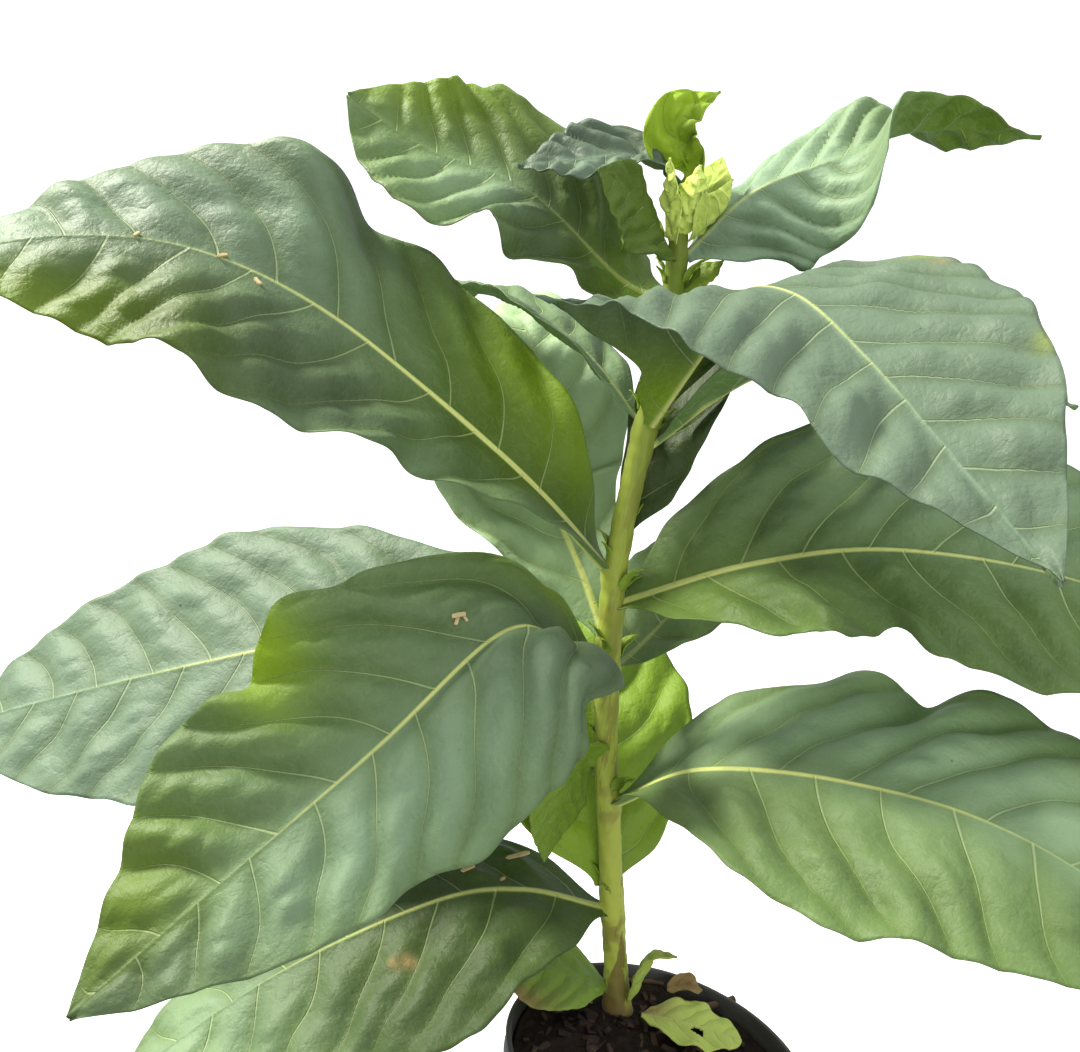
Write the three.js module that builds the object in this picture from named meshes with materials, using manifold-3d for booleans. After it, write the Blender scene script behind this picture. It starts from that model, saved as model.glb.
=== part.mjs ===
// A young tobacco plant in a round black nursery pot, in millimetres, +Z up.
// The origin is the centre of the pot's flat underside. The pot, its potting mix, the leaning
// stem, each leaf, each young leaf of the growing tip and each fallen leaf is a body of its own.
import * as THREE from "three";
import { mergeVertices } from "three/addons/utils/BufferGeometryUtils.js";
import Module from "manifold-3d";

const wasm = await Module();
wasm.setup();

// Driving dimensions
const POT_HEIGHT = 135;
const POT_RIM_RADIUS = 72;
const POT_FOOT_RADIUS = 52;
const POT_WALL = 2.4;
const LIP_HEIGHT = 11; // the stiff band round the mouth
const LIP_STEP = 2.6; // how far the band stands out from the wall under it
const DRAIN_HOLES = 8;
const DRAIN_RADIUS = 5;
const MIX_TOP = 127; // level of the potting mix at the stem
const MIX_ROUGHNESS = 1.1; // how far the surface of the mix rises and falls
const GAP = 0.35; // clear space between neighbouring bodies
const POT_SIDES = 48;
const STEM_SIDES = 12;
const THICKNESS_SHARE = 1 / 92; // thickness of a blade as a share of its length
const THINNEST = 1; // no blade is thinner than this
const RIB_SHARE = 0.55; // how much thicker a blade is along its midrib
const STALK_SHARE = 0.3; // width at the very base, as a share of the winged part
const TIP_HALF_WIDTH = 0.9;
const VEIN_SLANT = 0.08; // how far a swell's ridge turns towards the base, as a share of the length
const ACROSS_SMALL = [-1, -0.55, -0.15, 0, 0.15, 0.55, 1]; // columns of a blade, -1 left, 1 right
const ACROSS_LARGE = [-1, -0.7, -0.4, -0.12, 0, 0.12, 0.4, 0.7, 1];

const COLOURS = {
  pot: [0x17181a, 0.55],
  mix: [0x231b15, 0.95],
  stem: [0x93a83f, 0.6],
  leaf: [0x4f7d3c, 0.55],
  shadedLeaf: [0x35582f, 0.6],
  backlitLeaf: [0x86b32a, 0.55],
  youngLeaf: [0xa9c64e, 0.5],
  deadLeaf: [0xa98c5f, 0.85],
};

// The stem's centre line from the mix to the growing tip, and its radius there: [x, y, z, radius].
// It leans to the left at first and stands upright higher up.
const STEM = [
  [-17, 42, MIX_TOP + GAP, 8],
  [-18.5, 42, 134, 6.6],
  [-24, 42, 155, 5.9],
  [-35, 42, 195, 5.8],
  [-43, 42, 226, 5.7],
  [-50, 42, 252, 5.6],
  [-56, 42, 280, 5.5],
  [-61, 42, 306, 5.4],
  [-66, 42, 340, 5.3],
  [-68, 42, 370, 5.2],
  [-68, 42, 405, 5.1],
  [-67, 42, 440, 4.9],
  [-69, 42, 470, 4.6],
  [-71.5, 42, 496, 3.9],
  [-72, 42, 506, 2.2],
];

// Each leaf, from the foot of the stem to its tip.
// at: height of the leaf's base on the stem, or base: where a leaf that has fallen lies.
// heading: compass direction of the leaf in degrees, 0 along +X, 90 along +Y.
// midrib: points of the midrib as [reach outwards, rise above the base, shift to the leaf's left].
// width: greatest width. widest, wing, point and share go by side, [left, right]: where along the
//   leaf that side is widest, how wide its winged base is, how blunt its tip is (low is blunt) and
//   how much of the half width it has.
// left, right: how far each half is lifted from level, in degrees, evenly spaced from base to tip.
// leftCurl, rightCurl: how much further that half bends between midrib and margin, in degrees.
// waves: swells of the margin as [side, place along the leaf, length of the swell, height].
// bays: places where the margin draws in, as [side, place, length, share of the half width]. A
//   lobe is a bay with a share below 0.
const LEAVES = [
  {
    name: "leaf_foot_left", look: "leaf", at: 140, heading: 195,
    midrib: [[20, 4, 0], [45, 7, 0], [72, 4, 0]],
    width: 48, wing: [0.3, 0.3], left: [10, -20, -10], right: [10, 10, 10],
  },
  {
    name: "shoot_foot_right", look: "youngLeaf", at: 134, heading: -30,
    midrib: [[6, 14, 0], [10, 30, 0], [24, 36, 0]],
    width: 17, widest: [0.5, 0.5], wing: [0.6, 0.6], left: [-20, -20, -20], right: [-20, -20, -20],
  },
  {
    name: "leaf_left_low", look: "leaf", at: 180, heading: 200,
    midrib: [[50, 9, 0], [93, 1, 0], [160, -38, 0], [226, -98, 0]],
    width: 142, widest: [0.42, 0.42], wing: [0.25, 0.25], share: [1, 0.85],
    left: [-10, -20, -20], right: [10, 10, 5],
  },
  {
    name: "leaf_rear_low", look: "backlitLeaf", at: 189, heading: 118,
    midrib: [[15, 28, 0], [45, 70, 0], [90, 104, 0], [150, 100, 0]],
    width: 120, widest: [0.42, 0.42], wing: [0.3, 0.3], share: [1.2, 0.8],
    left: [-10, -15, -10], right: [20, 20, 10],
  },
  {
    name: "leaf_right_low", look: "leaf", at: 235, heading: -35,
    midrib: [[43, 34, 0], [109, 58, 0], [180, 66, 0], [280, 45, 0]],
    width: 145, wing: [0.2, 0.2], left: [40, 30, 25], right: [10, -20, -32, -32],
    waves: [["left", 0.45, 0.05, -8], ["left", 0.53, 0.04, 5]],
    bays: [["left", 0.46, 0.05, 0.2]],
  },
  {
    name: "leaf_small_hanging", look: "shadedLeaf", at: 252, heading: 207,
    midrib: [[12, 4, 0], [20, -18, 0], [22, -50, 0]],
    width: 46, widest: [0.5, 0.5], wing: [0.3, 0.3], left: [60, 60, 60], right: [-60, -60, -60],
  },
  {
    name: "leaf_left_rear", look: "leaf", at: 286, heading: 168,
    midrib: [[60, 20, 0], [120, 0, 0], [240, -60, 0], [362, -128, 0]],
    width: 150, widest: [0.52, 0.52], wing: [0.16, 0.16], point: [0.85, 0.85],
    left: [-20, -50, -50], right: [30, 50, 45],
  },
  {
    name: "leaf_front", look: "leaf", at: 300, heading: 220,
    midrib: [[35, 14, 0], [67, 17, 0], [118, -29, 0], [185, -86, 0], [230, -125, 0]],
    width: 130, widest: [0.42, 0.48], wing: [0.6, 0.3], point: [0.85, 0.85],
    left: [40, 30, -15, -20, -20], leftCurl: [-60, -110, -30, 0, 0], right: [40, 50, 35, 20],
    waves: [["right", 0.55, 0.04, -6], ["right", 0.44, 0.05, 5], ["left", 0.55, 0.05, -5]],
    bays: [
      ["left", 0.27, 0.07, -0.28], ["left", 0.56, 0.06, 0.15], ["right", 0.73, 0.09, -0.18],
      ["right", 0.56, 0.03, 0.1], ["right", 0.43, 0.05, -0.14], ["right", 0.16, 0.08, 0.2],
    ],
  },
  {
    name: "leaf_rear_right", look: "shadedLeaf", at: 299, heading: 55,
    midrib: [[25, 8, 0], [60, 28, 0], [100, 42, 0], [145, 38, 0]],
    width: 80, widest: [0.5, 0.5], share: [1, 0.6], left: [10, 10, 10], right: [-10, -10, -10],
  },
  {
    name: "leaf_rear_left", look: "leaf", at: 313, heading: 130,
    midrib: [[30, 24, 0], [70, 58, 0], [85, 100, 0], [125, 132, 0], [190, 110, 0]],
    width: 125, wing: [0.2, 0.2], share: [1, 0.65], left: [-10, -10, 0], right: [30, 40, 20],
  },
  {
    name: "leaf_right_mid", look: "leaf", at: 331, heading: -15,
    midrib: [[58, 34, 0], [118, 57, 0], [200, 62, 0], [300, 40, 0]],
    width: 145, widest: [0.42, 0.42], wing: [0.26, 0.26],
    left: [60, 55, 40, 30], right: [-10, -25, -35, -30],
    waves: [["right", 0.32, 0.03, 9], ["right", 0.4, 0.03, -6], ["left", 0.2, 0.04, 5]],
    bays: [["right", 0.4, 0.045, 0.38], ["right", 0.28, 0.025, 0.12], ["right", 0.5, 0.05, 0.12]],
  },
  {
    name: "leaf_left_long", look: "leaf", at: 346, heading: 188,
    midrib: [[62, 42, 0], [140, 86, 0], [205, 104, 0], [262, 98, 0], [322, 74, 0]],
    width: 134, widest: [0.52, 0.5], wing: [0.2, 0.3], point: [0.85, 0.85],
    left: [20, 0, -18, -34, -40, -38, -32, -44, -52, -36, -20],
    right: [15, 70, 62, 38, 62, 48, 40, 28, 10],
    waves: [
      ["right", 0.61, 0.06, 12], ["right", 0.5, 0.045, -20], ["right", 0.38, 0.06, 8],
      ["left", 0.365, 0.045, 14], ["left", 0.29, 0.03, -6], ["left", 0.62, 0.05, 3],
    ],
    bays: [["right", 0.49, 0.045, 0.16], ["right", 0.1, 0.05, 0.15], ["left", 0.3, 0.05, 0.18]],
  },
  {
    name: "leaf_rear_upper", look: "leaf", at: 363, heading: 80,
    midrib: [[10, 30, 0], [24, 72, 0], [60, 104, 0], [140, 98, 0]],
    width: 70, widest: [0.42, 0.42], wing: [0.4, 0.4], share: [0.35, 1],
    left: [30, 30, 20], right: [20, 20, 20],
  },
  {
    name: "leaf_rear_right_high", look: "leaf", at: 404, heading: -17,
    midrib: [[42, 42, 0], [92, 68, 22], [138, 72, 54], [178, 56, 90]],
    width: 72, widest: [0.55, 0.55], wing: [0.1, 0.1], left: [20, 20, 10], right: [20, 20, 10],
  },
  {
    name: "leaf_right_near", look: "leaf", at: 413, heading: -60,
    midrib: [[30, 42, 0], [46, 66, 0], [80, 68, 0], [126, 50, 0], [175, 26, 0], [222, 2, 0]],
    width: 140, widest: [0.4, 0.3], wing: [0.16, 0.16], point: [0.9, 1.3], share: [1, 1.12],
    left: [40, 20, 40, 40], right: [15, -12, -12, -22, -28],
    bays: [["right", 0.66, 0.07, 0.2], ["right", 0.26, 0.05, -0.26], ["right", 0.11, 0.06, 0.5]],
  },
  {
    name: "leaf_rear_left_high", look: "leaf", at: 414, heading: 144,
    midrib: [[40, 24, 0], [80, 38, 0], [115, 40, 0], [148, 28, 0]],
    width: 58, widest: [0.5, 0.5], wing: [0.1, 0.1], left: [20, 15, 10], right: [20, 15, 10],
  },
  {
    name: "leaf_top_left", look: "leaf", at: 471, heading: 175,
    midrib: [[24, 4, 0], [71, 32, 0], [122, 42, 0], [158, 57, 0]],
    width: 86, widest: [0.6, 0.6], wing: [0.18, 0.5], point: [0.8, 0.65], share: [0.88, 1.12],
    left: [-50, -42, -60], right: [30, 50, 55],
    waves: [["left", 0.5, 0.05, 5], ["left", 0.37, 0.04, -6], ["right", 0.82, 0.05, 5]],
    bays: [["left", 0.5, 0.07, 0.2], ["left", 0.24, 0.04, 0.2]],
  },
  {
    name: "leaf_small_right", look: "backlitLeaf", at: 472, heading: 10,
    midrib: [[8, 8, 0], [14, 15, 0], [19, 20, 0]],
    width: 15, wing: [0.3, 0.3], left: [30, 30, 30], right: [-30, -30, -30],
  },
  {
    name: "leaf_top_front", look: "backlitLeaf", at: 488, heading: 226,
    midrib: [[14, 9, 0], [36, 20, 0], [58, 26, 0]],
    width: 46, widest: [0.7, 0.5], wing: [0.35, 0.05], share: [1.2, 0.75],
    left: [-30, -60, -55], right: [10, 60, 65],
    waves: [["left", 0.45, 0.08, 3], ["left", 0.7, 0.06, -3]],
  },
  {
    name: "leaf_top_right", look: "leaf", at: 490, heading: 0,
    midrib: [[25, 32, 0], [62, 55, 0], [100, 73, 0], [138, 77, 0]],
    width: 64, widest: [0.45, 0.36], wing: [0.2, 0.4], share: [0.9, 1.15],
    left: [30, 18, 18, 25, 40, 50, -10, -32, -10],
    right: [-60, -75, -80, -75, -40, 40, 42, 30, 15],
    bays: [["right", 0.25, 0.08, -0.2], ["right", 0.75, 0.15, 0.2]],
  },
  {
    name: "leaf_top_folded", look: "shadedLeaf", at: 504, heading: 190,
    midrib: [[10, 17, -4], [27, 22, -8], [50, 15, -5], [74, 8, -3]],
    width: 46, widest: [0.65, 0.6], wing: [0.03, 0.03], share: [0.75, 1],
    left: [50, 10, -30, -30, -30], right: [10, 50, 50, 40, 30],
    waves: [["right", 0.5, 0.06, -4], ["right", 0.66, 0.05, 4], ["left", 0.65, 0.08, 4]],
    bays: [["right", 0.2, 0.12, 0.8]],
  },
  {
    name: "leaf_crown_tip", look: "backlitLeaf", at: 503, heading: 80,
    midrib: [[8, 20, 2], [4, 33, 10], [1, 43, 10], [5, 56, -3]],
    width: 26, widest: [0.6, 0.6], wing: [0.03, 0.03], point: [1.2, 1.2], share: [1.1, 0.9],
    left: [20, 30, 10], right: [20, 30, 30],
    bays: [["left", 0.36, 0.12, 0.75]],
  },
  {
    name: "bud_leaf_left", look: "youngLeaf", at: 495, heading: 158,
    midrib: [[14, 4, 0], [28, 9, 4], [38, 18, 8]],
    width: 18, widest: [0.65, 0.65], wing: [0.1, 0.1], left: [5, 40, 50], right: [5, 40, 50],
  },
  {
    name: "bud_leaf_right", look: "youngLeaf", at: 494, heading: -18,
    midrib: [[11, 8, 0], [19, 19, 0], [19, 31, 0]],
    width: 30, widest: [0.6, 0.6], wing: [0.05, 0.05], left: [10, 50, 60], right: [10, 50, 60],
  },
  {
    name: "bud_leaf_strap", look: "youngLeaf", at: 491, heading: 218,
    midrib: [[10, 14, 0], [15, 26, 1], [18, 36, 2]],
    width: 12, widest: [0.5, 0.5], wing: [0.3, 0.3], left: [10, 30, 10], right: [10, 20, 20],
  },
  {
    name: "bud_leaf_centre", look: "youngLeaf", at: 497, heading: 278,
    midrib: [[9, 8, 0], [14, 19, 0], [11, 31, 0]],
    width: 27, widest: [0.6, 0.65], wing: [0.15, 0.05], share: [0.9, 0.9],
    left: [5, 50, 60], right: [5, 60, 60],
  },
  {
    name: "bud_leaf_rear", look: "youngLeaf", at: 501, heading: 36,
    midrib: [[8, 9, 0], [12, 21, 0], [14, 33, 0]],
    width: 24, widest: [0.65, 0.65], wing: [0.15, 0.15], left: [5, 20, 20], right: [5, 10, 10],
  },
  {
    name: "leaf_on_mix", look: "backlitLeaf", base: [-6, 34, 131.5], heading: -5,
    midrib: [[16, 1.5, 0], [32, 1.5, 0], [50, 0.5, 0]],
    width: 37, widest: [0.5, 0.5], wing: [0.3, 0.3], point: [0.6, 0.6],
    left: [5, 5, 5], right: [5, 5, 5],
  },
  {
    name: "dead_leaf_left", look: "deadLeaf", base: [-31, 38, 131], heading: 200,
    midrib: [[8, 2, 0], [18, 2, 0], [28, 1, 0]],
    width: 26, widest: [0.5, 0.5], wing: [0.3, 0.3], left: [30, 20, 10], right: [20, 20, 20],
  },
  {
    name: "dead_leaf_curled", look: "deadLeaf", base: [9, 57, 131], heading: 15,
    midrib: [[5, 2, 0], [11, 3, 0], [18, 1, 0]],
    width: 16, widest: [0.5, 0.5], wing: [0.4, 0.4], left: [50, 60, 50], right: [40, 30, 40],
  },
];

const radians = (degrees) => (degrees * Math.PI) / 180;
const lerp = THREE.MathUtils.lerp;

// A point on the smooth curve through a list of equally spaced values or vectors, at t from 0 to 1.
function smooth(points, t) {
  const last = points.length - 1;
  if (last === 0) return points[0].slice();
  const place = Math.min(Math.max(t, 0), 1) * last;
  const i = Math.min(Math.floor(place), last - 1);
  const f = place - i;
  const point = (k) =>
    k < 0
      ? points[0].map((value, axis) => 2 * value - points[1][axis])
      : k > last
        ? points[last].map((value, axis) => 2 * value - points[last - 1][axis])
        : points[k];
  const [a, b, c, d] = [point(i - 1), point(i), point(i + 1), point(i + 2)];
  return b.map(
    (value, axis) =>
      0.5 *
      (2 * value +
        (c[axis] - a[axis]) * f +
        (2 * a[axis] - 5 * value + 4 * c[axis] - d[axis]) * f * f +
        (3 * value - a[axis] - 3 * c[axis] + d[axis]) * f * f * f),
  );
}

const along = (values, t) => smooth(values.map((value) => [value]), t)[0];

// The stem's centre and radius at a height.
function stemAt(z) {
  let i = 0;
  while (i < STEM.length - 2 && STEM[i + 1][2] < z) i += 1;
  const f = THREE.MathUtils.clamp((z - STEM[i][2]) / (STEM[i + 1][2] - STEM[i][2]), 0, 1);
  const [x, y, , radius] = STEM[i].map((value, k) => lerp(value, STEM[i + 1][k], f));
  return { centre: new THREE.Vector3(x, y, z), radius };
}

// Half width of one side of a leaf, as a share of its greatest, at u from base to tip.
function outline(u, widest, wing, point) {
  const stalk = lerp(STALK_SHARE, 1, THREE.MathUtils.smoothstep(u, 0, 0.1));
  if (u < widest) {
    return stalk * lerp(wing, 1, Math.sin(((Math.PI / 2) * u) / widest) ** 1.3);
  }
  return stalk * Math.cos(((Math.PI / 2) * (u - widest)) / (1 - widest)) ** point;
}

// The sum of the smooth humps of one side at u, each as [side, place, length, height].
const hump = (humps, side, u) =>
  humps
    .filter(([where]) => where === side)
    .reduce((sum, [, place, length, height]) =>
      sum + height * Math.exp(-(((u - place) / length) ** 2)), 0);

// A closed body between an upper and a lower grid of points, given as rows from base to tip.
function closedBlade(upper, lower) {
  const rows = upper.length;
  const columns = upper[0].length;
  const half = rows * columns;
  const positions = [...upper.flat(), ...lower.flat()].flatMap((p) => [p.x, p.y, p.z]);
  const index = [];
  const top = (i, j) => i * columns + j;
  const under = (i, j) => half + top(i, j);
  for (let i = 0; i < rows - 1; i += 1) {
    for (let j = 0; j < columns - 1; j += 1) {
      index.push(top(i, j), top(i, j + 1), top(i + 1, j));
      index.push(top(i + 1, j), top(i, j + 1), top(i + 1, j + 1));
      index.push(under(i, j), under(i + 1, j), under(i, j + 1));
      index.push(under(i + 1, j), under(i + 1, j + 1), under(i, j + 1));
    }
    const right = columns - 1;
    index.push(top(i, 0), top(i + 1, 0), under(i, 0));
    index.push(top(i + 1, 0), under(i + 1, 0), under(i, 0));
    index.push(top(i, right), under(i, right), top(i + 1, right));
    index.push(top(i + 1, right), under(i, right), under(i + 1, right));
  }
  for (let j = 0; j < columns - 1; j += 1) {
    const end = rows - 1;
    index.push(top(0, j), under(0, j), top(0, j + 1));
    index.push(top(0, j + 1), under(0, j), under(0, j + 1));
    index.push(top(end, j), top(end, j + 1), under(end, j));
    index.push(top(end, j + 1), under(end, j + 1), under(end, j));
  }
  const geometry = new THREE.BufferGeometry();
  geometry.setAttribute("position", new THREE.Float32BufferAttribute(positions, 3));
  geometry.setIndex(index);
  return geometry;
}

// The midrib as evenly spaced stations, each with its place, direction and distance from the base.
function midribStations(leaf, count) {
  const heading = radians(leaf.heading);
  const outwards = new THREE.Vector3(Math.cos(heading), Math.sin(heading), 0);
  const leftwards = new THREE.Vector3(-Math.sin(heading), Math.cos(heading), 0);
  const stem = leaf.base ? null : stemAt(leaf.at);
  const base = stem ? stem.centre : new THREE.Vector3(...leaf.base);
  const start = stem ? stem.radius + 3 * GAP : 0;
  const points = [[start, 0, 0], ...leaf.midrib].map(([reach, rise, shift]) =>
    base.clone().addScaledVector(outwards, reach).addScaledVector(leftwards, shift)
      .add(new THREE.Vector3(0, 0, rise)).toArray(),
  );
  const fine = Array.from({ length: 241 }, (_, k) =>
    new THREE.Vector3(...smooth(points, k / 240)),
  );
  const run = [0];
  for (let k = 1; k < fine.length; k += 1) run.push(run[k - 1] + fine[k].distanceTo(fine[k - 1]));
  const length = run.at(-1);
  const at = (distance) => {
    let k = 1;
    while (k < run.length - 1 && run[k] < distance) k += 1;
    return fine[k - 1].clone().lerp(fine[k], (distance - run[k - 1]) / (run[k] - run[k - 1]));
  };
  const step = length / 200;
  return {
    length,
    leftwards,
    stations: Array.from({ length: count + 1 }, (_, i) => {
      const distance = (length * i) / count;
      const ahead = at(Math.min(distance + step, length));
      const behind = at(Math.max(distance - step, 0));
      return { place: at(distance), forwards: ahead.sub(behind).normalize() };
    }),
  };
}

// One leaf: a thin closed blade, lifted, bent and waved on each side of its midrib.
function leafGeometry(leaf) {
  const { widest = [0.45, 0.45], wing = [0.12, 0.12], point = [0.95, 0.95] } = leaf;
  const { share = [1, 1], waves = [], bays = [] } = leaf;
  const small = leaf.width < 50;
  const rows = small ? 9 : 18;
  const across = small ? ACROSS_SMALL : ACROSS_LARGE;
  const { length, leftwards, stations } = midribStations(leaf, rows);
  const upper = stations.map(({ place, forwards }, i) => {
    const u = i / rows;
    const left = leftwards.clone().addScaledVector(forwards, -leftwards.dot(forwards)).normalize();
    const upwards = forwards.clone().cross(left);
    return across.map((v) => {
      const side = v > 0 ? 1 : 0; // 0 is the left half and 1 is the right half
      const distance = Math.abs(v);
      const lift = radians(along(side ? leaf.right : leaf.left, u));
      const curlValues = (side ? leaf.rightCurl : leaf.leftCurl) ?? [0];
      const curl = radians(along(curlValues, u)) || 1e-4;
      const sideName = side ? "right" : "left";
      const full = (leaf.width / 2) * share[side] * (1 - hump(bays, sideName, u));
      const half = full * outline(u, widest[side], wing[side], point[side]);
      const halfWidth = Math.max(half, TIP_HALF_WIDTH);
      const reach = (halfWidth * (Math.sin(lift + curl * distance) - Math.sin(lift))) / curl;
      const rise = (halfWidth * (Math.cos(lift) - Math.cos(lift + curl * distance))) / curl;
      const sideways = side ? left.clone().negate() : left;
      const veinward = u + VEIN_SLANT * (1 - distance);
      const swell = hump(waves, sideName, veinward) * distance ** 2;
      const bend = lift + curl * distance;
      return place.clone()
        .addScaledVector(sideways, reach - swell * Math.sin(bend))
        .addScaledVector(upwards, rise + swell * Math.cos(bend));
    });
  });
  const thickness = Math.max(length * THICKNESS_SHARE, THINNEST);
  const lower = upper.map((row, i) =>
    row.map((p, j) => {
      const ahead = upper[Math.min(i + 1, rows)][j].clone().sub(upper[Math.max(i - 1, 0)][j]);
      const last = across.length - 1;
      const over = row[Math.min(j + 1, last)].clone().sub(row[Math.max(j - 1, 0)]);
      const normal = over.cross(ahead).normalize();
      const rib = j === last / 2 ? 1 + RIB_SHARE * (1 - i / rows) : 1;
      return p.clone().addScaledVector(normal, -thickness * rib);
    }),
  );
  return closedBlade(upper, lower);
}

// The stem: level rings joined into one tube with a flat cut at each end.
function stemGeometry() {
  const positions = [];
  const index = [];
  STEM.forEach(([x, y, z, radius]) => {
    for (let k = 0; k < STEM_SIDES; k += 1) {
      const turn = (2 * Math.PI * k) / STEM_SIDES;
      positions.push(x + radius * Math.cos(turn), y + radius * Math.sin(turn), z);
    }
  });
  const rings = STEM.length;
  const bottom = rings * STEM_SIDES;
  const top = bottom + 1;
  positions.push(...STEM[0].slice(0, 3), ...STEM[rings - 1].slice(0, 3));
  for (let k = 0; k < STEM_SIDES; k += 1) {
    const next = (k + 1) % STEM_SIDES;
    for (let i = 0; i < rings - 1; i += 1) {
      const a = i * STEM_SIDES;
      const b = a + STEM_SIDES;
      index.push(a + k, a + next, b + k, a + next, b + next, b + k);
    }
    const last = (rings - 1) * STEM_SIDES;
    index.push(bottom, next, k, top, last + k, last + next);
  }
  const geometry = new THREE.BufferGeometry();
  geometry.setAttribute("position", new THREE.Float32BufferAttribute(positions, 3));
  geometry.setIndex(index);
  return geometry;
}

// A profile of [radius, height] points turned round the pot's axis.
function turned(profile) {
  const points = profile.map(([radius, height]) => new THREE.Vector2(radius, height));
  return new THREE.LatheGeometry(points, POT_SIDES).rotateX(Math.PI / 2);
}

function toSolid(geometry) {
  const bare = geometry.clone();
  bare.deleteAttribute("normal");
  bare.deleteAttribute("uv");
  const merged = mergeVertices(bare, 1e-3);
  return new wasm.Manifold(
    new wasm.Mesh({
      numProp: 3,
      vertProperties: new Float32Array(merged.attributes.position.array),
      triVerts: new Uint32Array(merged.index.array),
    }),
  );
}

function toGeometry(solid) {
  const mesh = solid.getMesh();
  const geometry = new THREE.BufferGeometry();
  geometry.setAttribute("position", new THREE.BufferAttribute(mesh.vertProperties, 3));
  geometry.setIndex(new THREE.BufferAttribute(mesh.triVerts, 1));
  return geometry;
}

const wallRadius = (z) =>
  lerp(POT_FOOT_RADIUS, POT_RIM_RADIUS - LIP_STEP, z / (POT_HEIGHT - LIP_HEIGHT));

// The pot: a tapering wall and a flat floor, a stiff stepped band round the mouth, and drain holes
// through the corner between wall and floor.
function potGeometry() {
  const bandBottom = POT_HEIGHT - LIP_HEIGHT;
  const inner = (z) => wallRadius(z) - POT_WALL;
  const shell = toSolid(
    turned([
      [0, 0],
      [POT_FOOT_RADIUS - 2, 0],
      [POT_FOOT_RADIUS, 2],
      [wallRadius(bandBottom - 14), bandBottom - 14],
      [wallRadius(bandBottom - 14) + 0.8, bandBottom - 12.5],
      [wallRadius(bandBottom), bandBottom],
      [POT_RIM_RADIUS - 0.8, bandBottom],
      [POT_RIM_RADIUS - 0.8, POT_HEIGHT - 3],
      [POT_RIM_RADIUS, POT_HEIGHT - 2],
      [POT_RIM_RADIUS - 0.6, POT_HEIGHT],
      [POT_RIM_RADIUS - 2.6, POT_HEIGHT],
      [POT_RIM_RADIUS - 3.4, POT_HEIGHT - 2],
      [inner(bandBottom), bandBottom - 1],
      [inner(POT_WALL), POT_WALL],
      [0, POT_WALL],
    ]),
  );
  let pot = shell;
  for (let k = 0; k < DRAIN_HOLES; k += 1) {
    const turn = (2 * Math.PI * (k + 0.5)) / DRAIN_HOLES;
    const drill = new THREE.CylinderGeometry(DRAIN_RADIUS, DRAIN_RADIUS, 24, 12)
      .rotateX(Math.PI / 2)
      .rotateY(radians(50))
      .rotateZ(turn)
      .translate(POT_FOOT_RADIUS * Math.cos(turn), POT_FOOT_RADIUS * Math.sin(turn), 2);
    pot = pot.subtract(toSolid(drill));
  }
  return toGeometry(pot);
}

// The surface of the potting mix, level round the stem and uneven elsewhere.
function mixHeight(x, y) {
  const [stemX, stemY] = STEM[0];
  const away = THREE.MathUtils.smoothstep(Math.hypot(x - stemX, y - stemY), 9, 22);
  const swell = Math.sin(x * 0.13 + 1.1) * Math.cos(y * 0.11) + 0.6 * Math.sin(x * 0.21 - y * 0.17);
  return MIX_TOP + away * MIX_ROUGHNESS * swell;
}

// The potting mix fills the pot to just under its mouth.
function mixGeometry() {
  const floor = POT_WALL + GAP;
  const rings = 7;
  const innerRadius = (z) => wallRadius(Math.min(z, POT_HEIGHT - LIP_HEIGHT - 1)) - POT_WALL - GAP;
  const topRadius = innerRadius(MIX_TOP);
  const positions = [0, 0, mixHeight(0, 0)];
  const index = [];
  const ring = (radius, height) => {
    const first = positions.length / 3;
    for (let k = 0; k < POT_SIDES; k += 1) {
      const turn = (2 * Math.PI * k) / POT_SIDES;
      const [x, y] = [radius * Math.cos(turn), radius * Math.sin(turn)];
      positions.push(x, y, height(x, y));
    }
    return first;
  };
  const join = (inner, outer) => {
    for (let k = 0; k < POT_SIDES; k += 1) {
      const next = (k + 1) % POT_SIDES;
      index.push(inner + k, outer + k, inner + next, inner + next, outer + k, outer + next);
    }
  };
  let previous = ring(topRadius / rings, mixHeight);
  for (let k = 0; k < POT_SIDES; k += 1) index.push(0, previous + k, previous + ((k + 1) % POT_SIDES));
  for (let i = 2; i <= rings; i += 1) {
    const next = ring((topRadius * i) / rings, mixHeight);
    join(previous, next);
    previous = next;
  }
  const belowBand = POT_HEIGHT - LIP_HEIGHT - 3;
  for (const z of [belowBand, floor]) {
    const next = ring(innerRadius(z), () => z);
    join(previous, next);
    previous = next;
  }
  const centre = positions.length / 3;
  positions.push(0, 0, floor);
  for (let k = 0; k < POT_SIDES; k += 1) {
    index.push(centre, previous + ((k + 1) % POT_SIDES), previous + k);
  }
  const geometry = new THREE.BufferGeometry();
  geometry.setAttribute("position", new THREE.Float32BufferAttribute(positions, 3));
  geometry.setIndex(index);
  return geometry;
}

const group = new THREE.Group();

function add(name, look, geometry) {
  const [color, roughness] = COLOURS[look];
  const material = new THREE.MeshStandardMaterial({ color, roughness, metalness: 0 });
  const mesh = new THREE.Mesh(geometry, material);
  mesh.name = name;
  group.add(mesh);
}

add("pot", "pot", potGeometry());
add("potting_mix", "mix", mixGeometry());
add("stem", "stem", stemGeometry());
for (const leaf of LEAVES) add(leaf.name, leaf.look, leafGeometry(leaf));

export default group;
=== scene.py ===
# %% [markdown]
# # A young tobacco plant in a nursery pot
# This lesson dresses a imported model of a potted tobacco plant: a leaning stem, broad arching
# leaves with pale veins, a tight crown of young leaves, and a black pot of bark and peat. The packed
# model is the fixed frame. Every piece made here goes where one of its nodes is, and replaces it.

# %% Load the frame
import math

import bpy
import numpy as np
from mathutils import Matrix, Vector, noise


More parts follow.
